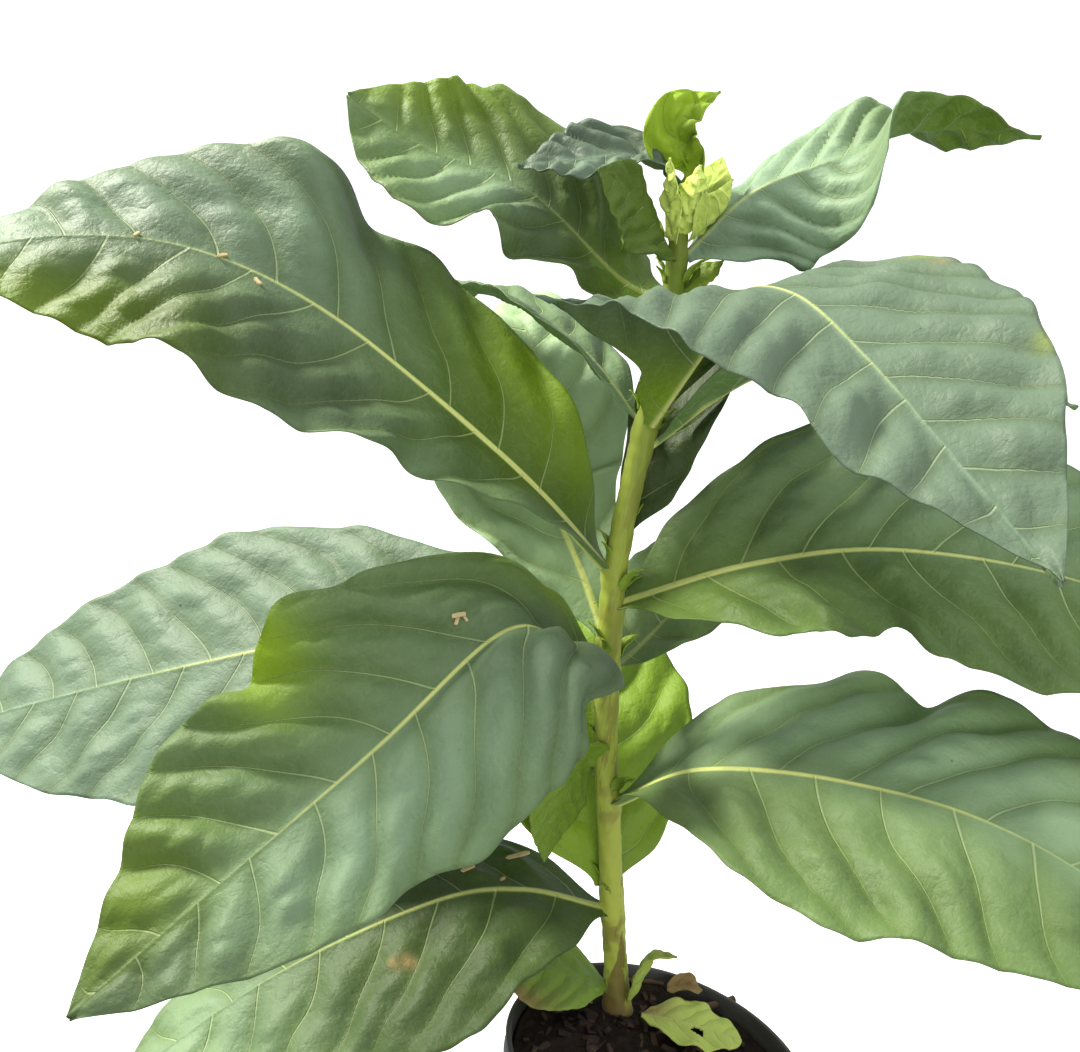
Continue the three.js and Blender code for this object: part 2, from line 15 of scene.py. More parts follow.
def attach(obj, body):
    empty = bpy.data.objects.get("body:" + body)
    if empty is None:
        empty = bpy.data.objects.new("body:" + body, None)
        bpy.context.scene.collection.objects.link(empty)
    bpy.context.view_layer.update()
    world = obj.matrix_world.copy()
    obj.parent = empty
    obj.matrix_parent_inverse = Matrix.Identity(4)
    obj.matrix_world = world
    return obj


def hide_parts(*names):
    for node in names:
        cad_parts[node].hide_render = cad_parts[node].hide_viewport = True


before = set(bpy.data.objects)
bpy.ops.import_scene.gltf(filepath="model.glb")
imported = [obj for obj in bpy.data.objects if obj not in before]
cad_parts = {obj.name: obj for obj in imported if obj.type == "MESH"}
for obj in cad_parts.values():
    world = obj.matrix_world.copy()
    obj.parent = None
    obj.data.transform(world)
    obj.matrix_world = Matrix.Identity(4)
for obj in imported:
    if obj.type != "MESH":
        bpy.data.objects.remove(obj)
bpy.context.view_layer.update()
print("nodes in the frame:", len(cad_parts))

# %% [markdown]
# Blender measures in metres. The tables below are easier to read in millimetres, as a gardener
# would measure a plant, so one constant turns them into metres where they are used.

# %% Units and the sizes that everything follows
MM = 0.001
POT_HEIGHT = 135 * MM
POT_RIM_RADIUS = 72 * MM
POT_FOOT_RADIUS = 52 * MM
POT_WALL = 2.0 * MM
LIP_HEIGHT = 11 * MM
LIP_STEP = 2.6 * MM
MIX_TOP = 127 * MM

# %% [markdown]
# The camera stands a little above the plant's middle, half a metre in front of it, looks 12 degrees
# down and is held 12 degrees askew, which is why the plant leans the other way in the picture.
# A camera looks along its own -Z, so it is first tipped up from the floor and then rolled.

# %% The camera
CAMERA_PLACE = Vector((-104.7, -471.2, 468.7)) * MM
CAMERA_DOWN = math.radians(12)
CAMERA_ROLL = math.radians(12)
CAMERA_LENS = 38.23

bpy.ops.object.select_all(action="DESELECT")
bpy.ops.object.camera_add()
camera = bpy.context.object
camera.data.lens = CAMERA_LENS
camera.data.sensor_width = 36
camera.data.clip_start = 0.01
tip = Matrix.Rotation(math.radians(90) - CAMERA_DOWN, 4, "X")
roll = Matrix.Rotation(CAMERA_ROLL, 4, "Z")
camera.matrix_world = Matrix.Translation(CAMERA_PLACE) @ tip @ roll
bpy.context.scene.camera = camera
print("camera at", [round(value, 3) for value in CAMERA_PLACE])

# %% [markdown]
# The plant stands on a plain pale bowl: a floor that bends up into a wall all round, so that no
# edge shows from any side. A flat grid is enough, with its points lifted by how far out they lie.
# Its faint glow keeps it near white without its light reaching the plant from below.

# %% The floor and its backdrop
BOWL_SIDE = 11.0
BOWL_START = 2.0
BOWL_BEND = 1.5


def add_grid(name, columns, rows, size=2.0):
    """A flat grid, alone in the selection."""
    bpy.ops.object.select_all(action="DESELECT")
    bpy.ops.mesh.primitive_grid_add(x_subdivisions=columns, y_subdivisions=rows, size=size)
    piece = bpy.context.object
    piece.name = piece.data.name = name
    return piece


def read_points(piece):
    points = np.empty(len(piece.data.vertices) * 3)
    piece.data.vertices.foreach_get("co", points)
    return points.reshape(-1, 3)


def write_points(piece, points):
    piece.data.vertices.foreach_set("co", np.ascontiguousarray(points, dtype=np.float32).ravel())
    piece.data.update()


floor = add_grid("floor", 120, 120, BOWL_SIDE)
flat = read_points(floor)
away = np.linalg.norm(flat[:, :2], axis=1)
past = np.clip(away - BOWL_START, 0, None)
turn = np.clip(past / BOWL_BEND, 0, math.pi / 2)
climb = np.clip(past - BOWL_BEND * math.pi / 2, 0, None)
reach = np.minimum(away, BOWL_START) + BOWL_BEND * np.sin(turn)
flat[:, :2] *= (reach / np.maximum(away, 1e-6))[:, None]
flat[:, 2] = BOWL_BEND * (1 - np.cos(turn)) + climb
write_points(floor, flat)
bpy.ops.object.shade_smooth()
floor.visible_diffuse = False
floor.visible_glossy = False

# %% [markdown]
# The photo was taken on a bright day, with the sun high on the left and a little behind the plant.
# A small strong panel stands for the sun, because a small lamp throws the shadows that show how the
# leaves bend. A wide panel overhead is the sky, and a third stands low in front, like light thrown
# back by pale ground, and reaches the foot of the stem. An even world light fills the rest.

# %% The lights
WORLD_COLOUR = (0.93, 0.96, 1.0, 1.0)
WORLD_STRENGTH = 0.66
PANELS = {
    "key": dict(place=(-1.6, 0.35, 1.6), size=0.4, power=78, colour=(1.0, 0.97, 0.88)),
    "sky": dict(place=(0.2, -0.6, 2.1), size=1.6, power=14, colour=(0.92, 0.96, 1.0)),
    "low": dict(place=(0.35, -1.3, 0.2), size=0.9, power=6, colour=(1.0, 0.98, 0.93)),
}
LOOK_AT = Vector((-0.07, 0.02, 0.35))

world = bpy.data.worlds.new("hazy_sky")
bpy.context.scene.world = world
world.use_nodes = True
sky = world.node_tree.nodes["Background"]
sky.inputs["Color"].default_value = WORLD_COLOUR
sky.inputs["Strength"].default_value = WORLD_STRENGTH
for name, panel in PANELS.items():
    place = Vector(panel["place"])
    bpy.ops.object.light_add(type="AREA", location=place)
    lamp = bpy.context.object
    lamp.name = name
    lamp.data.size = panel["size"]
    lamp.data.energy = panel["power"]
    lamp.data.color = panel["colour"]
    lamp.rotation_euler = (LOOK_AT - place).to_track_quat("-Z", "Y").to_euler()
bpy.context.scene.view_settings.view_transform = "Standard"

# %% [markdown]
# Materials are networks of nodes, and most of a network is plain arithmetic on numbers. It reads
# best as arithmetic, so a small class wraps an output socket and each operator adds one Math node.
# Reflected forms are there too, so that 1 - mask works.


# %% A helper for shader arithmetic
class Wire:
    """A number somewhere in a node tree, which can be used in an expression."""

    def __init__(self, finish, socket):
        self.finish = finish
        self.socket = socket

    def maths(self, operation, first, second=None):
        made = self.finish.tree.nodes.new("ShaderNodeMath")
        made.operation = operation
        for socket, value in zip(made.inputs, (first, second)):
            if value is not None:
                self.finish.feed(socket, value)
        return Wire(self.finish, made.outputs[0])

    def __add__(self, other):
        return self.maths("ADD", self, other)

    def __sub__(self, other):
        return self.maths("SUBTRACT", self, other)

    def __mul__(self, other):
        return self.maths("MULTIPLY", self, other)

    def __truediv__(self, other):
        return self.maths("DIVIDE", self, other)

    def __radd__(self, other):
        return self.maths("ADD", other, self)

    def __rsub__(self, other):
        return self.maths("SUBTRACT", other, self)

    def __rmul__(self, other):
        return self.maths("MULTIPLY", other, self)

    def __abs__(self):
        return self.maths("ABSOLUTE", self)

    def clamp(self):
        return self.maths("MINIMUM", self.maths("MAXIMUM", self, 0.0), 1.0)

    def fraction(self):
        return self.maths("FRACT", self)

    def below(self, edge, soft):
        """1 where this number is under the edge, 0 past it, with a soft step between."""
        return ((edge - self) / soft + 0.5).clamp()


class Finish:
    """A new material with one shader, and short ways to add and join its nodes."""

    def __init__(self, name, **uniform):
        self.material = bpy.data.materials.new(name)
        self.material.use_nodes = True
        self.tree = self.material.node_tree
        self.shader = self.tree.nodes["Principled BSDF"]
        for socket, value in uniform.items():
            self.shader.inputs[socket.replace("_", " ")].default_value = value

    def feed(self, socket, value):
        if isinstance(value, Wire):
            self.tree.links.new(value.socket, socket)
        elif isinstance(value, bpy.types.NodeSocket):
            self.tree.links.new(value, socket)
        else:
            socket.default_value = value

    def node(self, kind, settings=None, **inputs):
        """A node of this type, its settings made first and its sockets fed after."""
        made = self.tree.nodes.new("ShaderNode" + kind)
        for name, value in (settings or {}).items():
            setattr(made, name, value)
        for name, value in inputs.items():
            self.feed(made.inputs[name.replace("_", " ")], value)
        return made

    def attribute(self, name):
        return Wire(self, self.node("Attribute", {"attribute_name": name}).outputs["Fac"])

    def map(self, name):
        """The piece's own UV map as a vector socket."""
        return self.node("UVMap", {"uv_map": name}).outputs["UV"]

    def place(self):
        return self.node("TexCoord").outputs["Object"]

    def split(self, vector):
        parts = self.node("SeparateXYZ", Vector=vector)
        return [Wire(self, socket) for socket in parts.outputs]

    def stretched(self, vector, by):
        """The vector with each of its parts multiplied."""
        made = self.node("VectorMath", {"operation": "MULTIPLY"})
        self.feed(made.inputs[0], vector)
        made.inputs[1].default_value = by
        return made.outputs[0]

    def dimmed(self, colour, share):
        """The colour with all its parts multiplied by one number."""
        made = self.node("VectorMath", {"operation": "SCALE"}, Scale=share)
        self.feed(made.inputs[0], colour)
        return made.outputs[0]

    def cloud(self, vector, scale, detail=3.0, roughness=0.55):
        made = self.node("TexNoise", Vector=vector, Scale=scale, Detail=detail, Roughness=roughness)
        return Wire(self, made.outputs[0])

    def cells(self, vector, scale, feature="F1"):
        made = self.node("TexVoronoi", {"feature": feature}, Vector=vector, Scale=scale)
        return Wire(self, made.outputs["Distance"])

    def warped(self, vector, scale, amount):
        """The vector pushed about by a noise, so that cells read from it get wavy walls."""
        push = self.node("TexNoise", Vector=vector, Scale=scale, Detail=1.0).outputs["Color"]
        made = self.node("VectorMath", {"operation": "MULTIPLY_ADD"})
        for socket, value in zip(made.inputs, (push, (amount,) * 3, vector)):
            self.feed(socket, value)
        return made.outputs[0]

    def cushions(self, vector, scale):
        """Puffed cells: 1 in the middle of each, falling off to a shallow groove between them."""
        away = self.cells(vector, scale)
        return 1 - away * away

    def blend(self, factor, first, second):
        """Two colours mixed by a factor."""
        made = self.node("Mix", {"data_type": "RGBA"})
        for index, value in ((0, factor), (6, first), (7, second)):
            self.feed(made.inputs[index], value)
        return made.outputs[2]

    def colour(self, value):
        self.feed(self.shader.inputs["Base Color"], value)

    def roughness(self, value):
        self.feed(self.shader.inputs["Roughness"], value)

    def relief(self, height, distance, strength):
        bump = self.node("Bump", Height=height, Distance=distance, Strength=strength)
        self.feed(self.shader.inputs["Normal"], bump.outputs["Normal"])


def screen_colour(red, green, blue):
    """A colour as a screen shows it, from 0 to 255, made linear for the shaders."""
    shares = [channel / 255 for channel in (red, green, blue)]
    linear = [((s + 0.055) / 1.055) ** 2.4 if s > 0.04045 else s / 12.92 for s in shares]
    return (*linear, 1.0)


# %% [markdown]
# The floor needs no more than a pale, even paint with the faintest mottling.

# %% The floor's finish
pale_floor = Finish("pale_floor", Roughness=0.9, Emission_Color=(1, 1, 1, 1), Emission_Strength=0.5)
FLOOR_WHITE = screen_colour(250, 250, 250)
FLOOR_GREY = screen_colour(240, 240, 242)
mottle = pale_floor.cloud(pale_floor.place(), 3.0)
pale_floor.colour(pale_floor.blend(mottle * 0.4, FLOOR_WHITE, FLOOR_GREY))
floor.data.materials.append(pale_floor.material)

# %% [markdown]
# A tobacco leaf has a thick pale midrib, a dozen side veins that leave it at a wide angle and arch
# towards the tip, and a fine net between them. The blade is soft with short hairs, which lay a grey
# bloom over the green; the same grey also serves as painted sheen. Where light comes through it the
# green turns to a bright yellow-green.
# The leaf meshes below carry that pattern with them: a UV map counts the side veins, a second one
# measures the blade in metres, and a few attributes say how much of each look there is at a point.

# %% The leaf's colours and looks
DEEP_GREEN = screen_colour(60, 84, 18)
MID_GREEN = screen_colour(94, 120, 40)
BLOOM_AND_SHEEN_GREY = screen_colour(150, 176, 146)
LIT_THROUGH = screen_colour(136, 168, 14)
YOUNG_GREEN = screen_colour(206, 222, 112)
VEIN_PALE = screen_colour(172, 192, 122)
VEIN_WHITE = screen_colour(192, 208, 180)
RIB_PALE = screen_colour(222, 228, 136)
UNDER_GREEN = screen_colour(108, 144, 58)
DRY_TAN = screen_colour(196, 172, 116)
DRY_BROWN = screen_colour(112, 82, 50)
SPECK_DARK = screen_colour(38, 40, 24)

# Looks, in order: grey haze of the hairs with painted sheen in it; light that comes through; pale as
# a new leaf; brown and papery; painted shade, how much darker than usual, which is painted light where
# it is below 0.
LOOK_KINDS = ("bloom_and_sheen", "lit", "young", "dry", "painted_shade_and_light")

# %% [markdown]
# A pattern in a shader is a number at each place. Here are the leaf's: broad clouds of darker and
# lighter green, a fine grain like short hairs, the net of small veins, and the side veins, which are
# drawn where the first UV map's count is close to a whole number. The net is read at places that a
# noise has pushed about, because cells with straight walls look like cracked glaze.

# %% The leaf's patterns
# Scales are in cells for each metre of leaf.
CLOUD_SCALE = 26.0
LUMP_SCALE = 60.0
HAIR_SCALE = 420.0
NET_SCALE = 170.0
PUFF_SCALE = 125.0
WARP_SCALE = 260.0
WARP_REACH = 0.005
SPECK_SCALE = 70.0
SPECK_CLOUD_SCALE = 31.0
DRY_SCALE = 130.0
VEIN_HALF_WIDTH = 0.019
VEIN_NARROWING = 0.013


class LeafFinish(Finish):
    """One side of a leaf, with the patterns that its colour and its relief share."""

    def __init__(self, name, under):
        super().__init__(
            name, Specular_IOR_Level=0.28, Sheen_Weight=0.04, Sheen_Roughness=0.45,
            Sheen_Tint=(0.8, 0.92, 0.86, 1.0),
        )
        self.under = under
        self.amount = {kind: self.attribute(kind) for kind in ("rib", *LOOK_KINDS)}
        self.blade = self.map("blade")
        self.broad = self.cloud(self.blade, CLOUD_SCALE, 2.0)
        self.hairs = self.cloud(self.blade, HAIR_SCALE, 4.0, 0.65)
        self.wavy = self.warped(self.blade, WARP_SCALE, WARP_REACH)
        self.net = self.cells(self.wavy, NET_SCALE, "DISTANCE_TO_EDGE").below(0.05, 0.06)
        count, side, _ = self.split(self.map("veins"))
        beside = abs(side)
        self.from_vein = abs((count + 0.5).fraction() - 0.5)
        half = VEIN_HALF_WIDTH - VEIN_NARROWING * beside
        self.side_vein = self.from_vein.below(half, half) * (1 - (beside * beside) * 0.6)


# %% [markdown]
# The colour is laid on as a painter would: first the blade's own green with its bloom and painted sheen,
# its youth and the light that comes through, then the veins on top, and last dark specks, painted
# shade and painted light, and the brown of dry places.


# %% The leaf's colour
def mixed_green(finish):
    """The blade's own green, hazed by its bloom and painted sheen, paled by youth and lit from behind.
    """
    amount = finish.amount
    green = finish.blend(finish.broad, DEEP_GREEN, MID_GREEN)
    if finish.under:
        green = finish.blend(0.62, green, UNDER_GREEN)
    off_veins = 0.62 + (finish.from_vein * 4.0).clamp() * 0.38
    # The grey haze: the hairs' bloom, and painted sheen.
    haze_and_sheen = amount["bloom_and_sheen"] * (0.7 + finish.broad * 0.45 + finish.hairs * 0.1) * off_veins
    green = finish.blend(haze_and_sheen.clamp() * (0.5 if finish.under else 1.0), green, BLOOM_AND_SHEEN_GREY)
    green = finish.blend(amount["young"], green, YOUNG_GREEN)
    lit = (amount["lit"] * (0.75 + finish.broad * 0.5)).clamp()
    return finish.blend(lit, green, LIT_THROUGH)


def veined(finish, green):
    """The green with the net, the side veins and the midrib drawn on it, in that order."""
    amount = finish.amount
    green = finish.blend(finish.net * (0.16 if finish.under else 0.05), green, VEIN_PALE)
    share = finish.side_vein * (0.80 if finish.under else 0.62) * (1 - amount["young"] * 0.5)
    # Veins are whiter where the grey of bloom and painted sheen lies.
    vein_colour = finish.blend(amount["bloom_and_sheen"].clamp() * 0.7, VEIN_PALE, VEIN_WHITE)
    green = finish.blend(share, green, vein_colour)
    return finish.blend((amount["rib"] * 2.4 - 0.9).clamp() * 0.92, green, RIB_PALE)


def specked_painted_shade_and_dry(finish, green):
    """The green with a few dark specks, darkened by painted shade and lightened by painted light, and
    brown where it is dry.
    """
    amount = finish.amount
    rarely = finish.cloud(finish.blade, SPECK_CLOUD_SCALE).below(0.45, 0.05)
    speck = finish.cells(finish.blade, SPECK_SCALE).below(0.045, 0.02) * rarely
    green = finish.blend(speck * 0.8, green, SPECK_DARK)
    # Painted shade darkens the green, and painted light, where the amount is below 0, lightens it; the
    # rib and the veins take less of both.
    off_veins = (1 - amount["rib"] * 0.85) * (1 - finish.side_vein * 0.35)
    green = finish.dimmed(green, 1 - amount["painted_shade_and_light"] * off_veins)
    brown = finish.blend(finish.cloud(finish.blade, DRY_SCALE, 4.0), DRY_TAN, DRY_BROWN)
    return finish.blend(amount["dry"], green, brown)


# %% [markdown]
# Veins pull the upper side in and stand out of the lower one, with soft puffs between them. So one
# function makes two materials, and the height of the veins and puffs changes its sign. The lower
# side is paler too, and shows its net more.

# %% The leaf's relief, and its two sides
LEAF_BUMP = 1.2 * MM


def puffed(finish):
    """The height of the surface at the veins, the net, the puffs, the hairs and broad lumps."""
    stands = 1.0 if finish.under else -1.0
    puffs = finish.cushions(finish.wavy, PUFF_SCALE) * (0.7 - finish.amount["young"] * 0.5)
    lumps = finish.cloud(finish.blade, LUMP_SCALE, 2.0, 0.5)
    height = finish.side_vein * (0.5 * stands) + finish.net * (0.04 * stands) - puffs * (0.8 * stands)
    return height + finish.hairs * 0.5 + lumps * 0.6


def leaf_finish(name, under):
    finish = LeafFinish(name, under)
    finish.colour(specked_painted_shade_and_dry(finish, veined(finish, mixed_green(finish))))
    dullness = finish.amount["dry"] * 0.3 + finish.amount["young"] * 0.08
    finish.roughness(0.42 + finish.hairs * 0.2 + dullness)
    finish.relief(puffed(finish), LEAF_BUMP, 0.8)
    print(name, "has", len(finish.tree.nodes), "nodes")
    return finish.material


leaf_upper = leaf_finish("leaf_upper_side", False)
leaf_lower = leaf_finish("leaf_lower_side", True)

# %% [markdown]
# The stem is one smooth curve of round sections. The same list of centres and radii that the solid
# was made from gives it its lean, and each leaf's base is placed on it by height.

# %% The stem's line
# Each row is a section's centre, x, y and height, and its radius.
STEM = [
    (-17, 42, 127.3, 8), (-18.5, 42, 134, 6.6), (-24, 42, 155, 5.9), (-35, 42, 195, 5.8),
    (-43, 42, 226, 5.7), (-50, 42, 252, 5.6), (-56, 42, 280, 5.5), (-61, 42, 306, 5.4),
    (-66, 42, 340, 5.3), (-68, 42, 370, 5.2), (-68, 42, 405, 5.1), (-67, 42, 440, 4.9),
    (-69, 42, 470, 4.6), (-71.5, 42, 496, 3.9), (-72, 42, 506, 2.2),
]
stem_table = np.array(STEM) * MM


def stem_at(height):
    """The stem's centre and radius at a height in metres."""
    x, y, radius = (np.interp(height, stem_table[:, 2], stem_table[:, k]) for k in (0, 1, 3))
    return np.array([x, y, height]), radius


# %% [markdown]
# Each leaf is described the way one would draw it: where it leaves the stem, which way it heads, the
# line of its midrib, how wide it is and where, and how its two halves are lifted or hang. All
# lengths are millimetres and all angles degrees.

# %% The leaves
# at: height of the base, or base: where a fallen leaf lies. heading: 0 along +X, 90 along +Y.
# midrib: reach outwards, rise above the base, and shift to the leaf's left where there is one.
# width: the whole blade's. widest, wing, point, share: where along it a side is widest, how wide its
#   winged base is, how blunt its tip is, and how much of the half width it has. One number stands
#   for both sides, and a pair for the left and the right one.
# left, right: how far each half is lifted from level, from base to tip. left_curl: its further bend.
# waves: swells of the margin as (side, place along, length, height). bays: where the margin draws
#   in, as (side, place, length, share of the half width); below 0 it is a lobe.
LEAVES = {
    "leaf_foot_left": dict(
        at=140, heading=195, midrib=[(20, 4), (45, 7), (72, 4)], width=48, wing=0.3,
        left=[10, -20, -10], right=[10],
    ),
    "shoot_foot_right": dict(
        at=134, heading=-30, midrib=[(6, 14), (10, 30), (24, 36)], width=17, widest=0.5, wing=0.6,
        left=[-20], right=[-20],
    ),
    "leaf_left_low": dict(
        at=180, heading=200, midrib=[(50, 9), (93, 1), (160, -38), (226, -98)], width=142, widest=0.42,
        wing=0.25, share=(1, 0.85), left=[-10, -20, -20], right=[10, 10, 5],
    ),
    "leaf_rear_low": dict(
        at=189, heading=118, midrib=[(15, 28), (45, 70), (90, 104), (150, 100)], width=120, widest=0.42,
        wing=0.3, share=(1.2, 0.8), left=[-10, -15, -10], right=[20, 20, 10],
    ),
    "leaf_right_low": dict(
        at=235, heading=-35, midrib=[(43, 34), (109, 58), (180, 66), (280, 45)], width=145, wing=0.2,
        left=[40, 30, 25], right=[10, -20, -32, -32],
        waves=[("left", 0.45, 0.05, -8), ("left", 0.53, 0.04, 5)], bays=[("left", 0.46, 0.05, 0.2)],
    ),
    "leaf_small_hanging": dict(
        at=252, heading=207, midrib=[(12, 4), (20, -18), (22, -50)], width=46, widest=0.5, wing=0.3,
        left=[60], right=[-60],
    ),
    "leaf_left_rear": dict(
        at=286, heading=168, midrib=[(60, 20), (120, 0), (240, -60), (362, -128)], width=150,
        widest=0.52, wing=0.16, point=0.85, left=[-20, -50, -50], right=[30, 50, 45],
    ),
    "leaf_front": dict(
        at=300, heading=220, midrib=[(35, 14), (67, 17), (118, -29), (185, -86), (230, -125)],
        width=130, widest=(0.42, 0.48), wing=(0.6, 0.3), point=0.85, left=[40, 30, -15, -20, -20],
        left_curl=[-60, -110, -30, 0, 0], right=[40, 50, 35, 20],
        waves=[("right", 0.55, 0.04, -6), ("right", 0.44, 0.05, 5), ("left", 0.55, 0.05, -5)],
        bays=[
            ("left", 0.27, 0.07, -0.28), ("left", 0.56, 0.06, 0.15), ("right", 0.73, 0.09, -0.18),
            ("right", 0.56, 0.03, 0.1), ("right", 0.43, 0.05, -0.14), ("right", 0.16, 0.08, 0.2),
        ],
    ),
    "leaf_rear_right": dict(
        at=299, heading=55, midrib=[(25, 8), (60, 28), (100, 42), (145, 38)], width=80, widest=0.5,
        share=(1, 0.6), left=[10], right=[-10],
    ),
    "leaf_rear_left": dict(
        at=313, heading=130, midrib=[(30, 24), (70, 58), (85, 100), (125, 132), (190, 110)], width=125,
        wing=0.2, share=(1, 0.65), left=[-10, -10, 0], right=[30, 40, 20],
    ),
    "leaf_right_mid": dict(
        at=331, heading=-15, midrib=[(58, 34), (118, 57), (200, 62), (300, 40)], width=145, widest=0.42,
        wing=0.26, left=[60, 55, 40, 30], right=[-10, -25, -35, -30],
        waves=[("right", 0.32, 0.03, 9), ("right", 0.4, 0.03, -6), ("left", 0.2, 0.04, 5)],
        bays=[("right", 0.4, 0.045, 0.38), ("right", 0.28, 0.025, 0.12), ("right", 0.5, 0.05, 0.12)],
    ),
    "leaf_left_long": dict(
        at=346, heading=188, midrib=[(62, 42), (140, 86), (205, 104), (262, 98), (322, 74)], width=134,
        widest=(0.52, 0.5), wing=(0.2, 0.3), point=0.85,
        left=[20, 0, -18, -34, -40, -38, -32, -44, -52, -36, -20],
        right=[15, 70, 62, 38, 62, 48, 40, 28, 10],
        waves=[
            ("right", 0.61, 0.06, 12), ("right", 0.5, 0.045, -20), ("right", 0.38, 0.06, 8),
            ("left", 0.365, 0.045, 14), ("left", 0.29, 0.03, -6), ("left", 0.62, 0.05, 3),
        ],
        bays=[("right", 0.49, 0.045, 0.16), ("right", 0.1, 0.05, 0.15), ("left", 0.3, 0.05, 0.18)],
    ),
    "leaf_rear_upper": dict(
        at=363, heading=80, midrib=[(10, 30), (24, 72), (60, 104), (140, 98)], width=70, widest=0.42,
        wing=0.4, share=(0.35, 1), left=[30, 30, 20], right=[20],
    ),
    "leaf_rear_right_high": dict(
        at=404, heading=-17, midrib=[(42, 42, 0), (92, 68, 22), (138, 72, 54), (178, 56, 90)], width=72,
        widest=0.55, wing=0.1, left=[20, 20, 10], right=[20, 20, 10],
    ),
    "leaf_right_near": dict(
        at=413, heading=-60, midrib=[(30, 42), (46, 66), (80, 68), (126, 50), (175, 26), (222, 2)],
        width=140, widest=(0.4, 0.3), wing=0.16, point=(0.9, 1.3), share=(1, 1.12),
        left=[40, 20, 40, 40], right=[15, -12, -12, -22, -28],
        bays=[("right", 0.66, 0.07, 0.2), ("right", 0.26, 0.05, -0.26), ("right", 0.11, 0.06, 0.5)],
    ),
    "leaf_rear_left_high": dict(
        at=414, heading=144, midrib=[(40, 24), (80, 38), (115, 40), (148, 28)], width=58, widest=0.5,
        wing=0.1, left=[20, 15, 10], right=[20, 15, 10],
    ),
    "leaf_top_left": dict(
        at=471, heading=175, midrib=[(24, 4), (71, 32), (122, 42), (158, 57)], width=86, widest=0.6,
        wing=(0.18, 0.5), point=(0.8, 0.65), share=(0.88, 1.12), left=[-50, -42, -60],
        right=[30, 50, 55],
        waves=[("left", 0.5, 0.05, 5), ("left", 0.37, 0.04, -6), ("right", 0.82, 0.05, 5)],
        bays=[("left", 0.5, 0.07, 0.2), ("left", 0.24, 0.04, 0.2)],
    ),
    "leaf_small_right": dict(
        at=472, heading=10, midrib=[(8, 8), (14, 15), (19, 20)], width=15, wing=0.3, left=[30],
        right=[-30],
    ),
    "leaf_top_front": dict(
        at=488, heading=226, midrib=[(14, 9), (36, 20), (58, 26)], width=46, widest=(0.7, 0.5),
        wing=(0.35, 0.05), share=(1.2, 0.75), left=[-30, -60, -55], right=[10, 60, 65],
        waves=[("left", 0.45, 0.08, 3), ("left", 0.7, 0.06, -3)],
    ),
    "leaf_top_right": dict(
        at=490, heading=0, midrib=[(25, 32), (62, 55), (100, 73), (138, 77)], width=64,
        widest=(0.45, 0.36), wing=(0.2, 0.4), share=(0.9, 1.15),
        left=[30, 18, 18, 25, 40, 50, -10, -32, -10], right=[-60, -75, -80, -75, -40, 40, 42, 30, 15],
        bays=[("right", 0.25, 0.08, -0.2), ("right", 0.75, 0.15, 0.2)],
    ),
    "leaf_top_folded": dict(
        at=504, heading=190, midrib=[(10, 17, -4), (27, 22, -8), (50, 15, -5), (74, 8, -3)], width=46,
        widest=(0.65, 0.6), wing=0.03, share=(0.75, 1), left=[50, 10, -30, -30, -30],
        right=[10, 50, 50, 40, 30],
        waves=[("right", 0.5, 0.06, -4), ("right", 0.66, 0.05, 4), ("left", 0.65, 0.08, 4)],
        bays=[("right", 0.2, 0.12, 0.8)],
    ),
    "leaf_crown_tip": dict(
        at=503, heading=80, midrib=[(8, 20, 2), (4, 33, 10), (1, 43, 10), (5, 56, -3)], width=26,
        widest=0.6, wing=0.03, point=1.2, share=(1.1, 0.9), left=[20, 30, 10], right=[20, 30, 30],
        bays=[("left", 0.36, 0.12, 0.75)],
    ),
    "bud_leaf_left": dict(
        at=495, heading=158, midrib=[(14, 4, 0), (28, 9, 4), (38, 18, 8)], width=18, widest=0.65,
        wing=0.1, left=[5, 40, 50], right=[5, 40, 50],
    ),
    "bud_leaf_right": dict(
        at=494, heading=-18, midrib=[(11, 8), (19, 19), (19, 31)], width=30, widest=0.6, wing=0.05,
        left=[10, 50, 60], right=[10, 50, 60],
    ),
    "bud_leaf_strap": dict(
        at=491, heading=218, midrib=[(10, 14, 0), (15, 26, 1), (18, 36, 2)], width=12, widest=0.5,
        wing=0.3, left=[10, 30, 10], right=[10, 20, 20],
    ),
    "bud_leaf_centre": dict(
        at=497, heading=278, midrib=[(9, 8), (14, 19), (11, 31)], width=27, widest=(0.6, 0.65),
        wing=(0.15, 0.05), share=0.9, left=[5, 50, 60], right=[5, 60, 60],
    ),
    "bud_leaf_rear": dict(
        at=501, heading=36, midrib=[(8, 9), (12, 21), (14, 33)], width=24, widest=0.65, wing=0.15,
        left=[5, 20, 20], right=[5, 10, 10],
    ),
    "leaf_on_mix": dict(
        base=(-6, 34, 131.5), heading=-5, midrib=[(16, 1.5), (32, 1.5), (50, 0.5)], width=37,
        widest=0.5, wing=0.3, point=0.6, left=[5], right=[5],
    ),
    "dead_leaf_left": dict(
        base=(-31, 38, 131), heading=200, midrib=[(8, 2), (18, 2), (28, 1)], width=26, widest=0.5,
        wing=0.3, left=[30, 20, 10], right=[20],
    ),
    "dead_leaf_curled": dict(
        base=(9, 57, 131), heading=15, midrib=[(5, 2), (11, 3), (18, 1)], width=16, widest=0.5,
        wing=0.4, left=[50, 60, 50], right=[40, 30, 40],
    ),
}
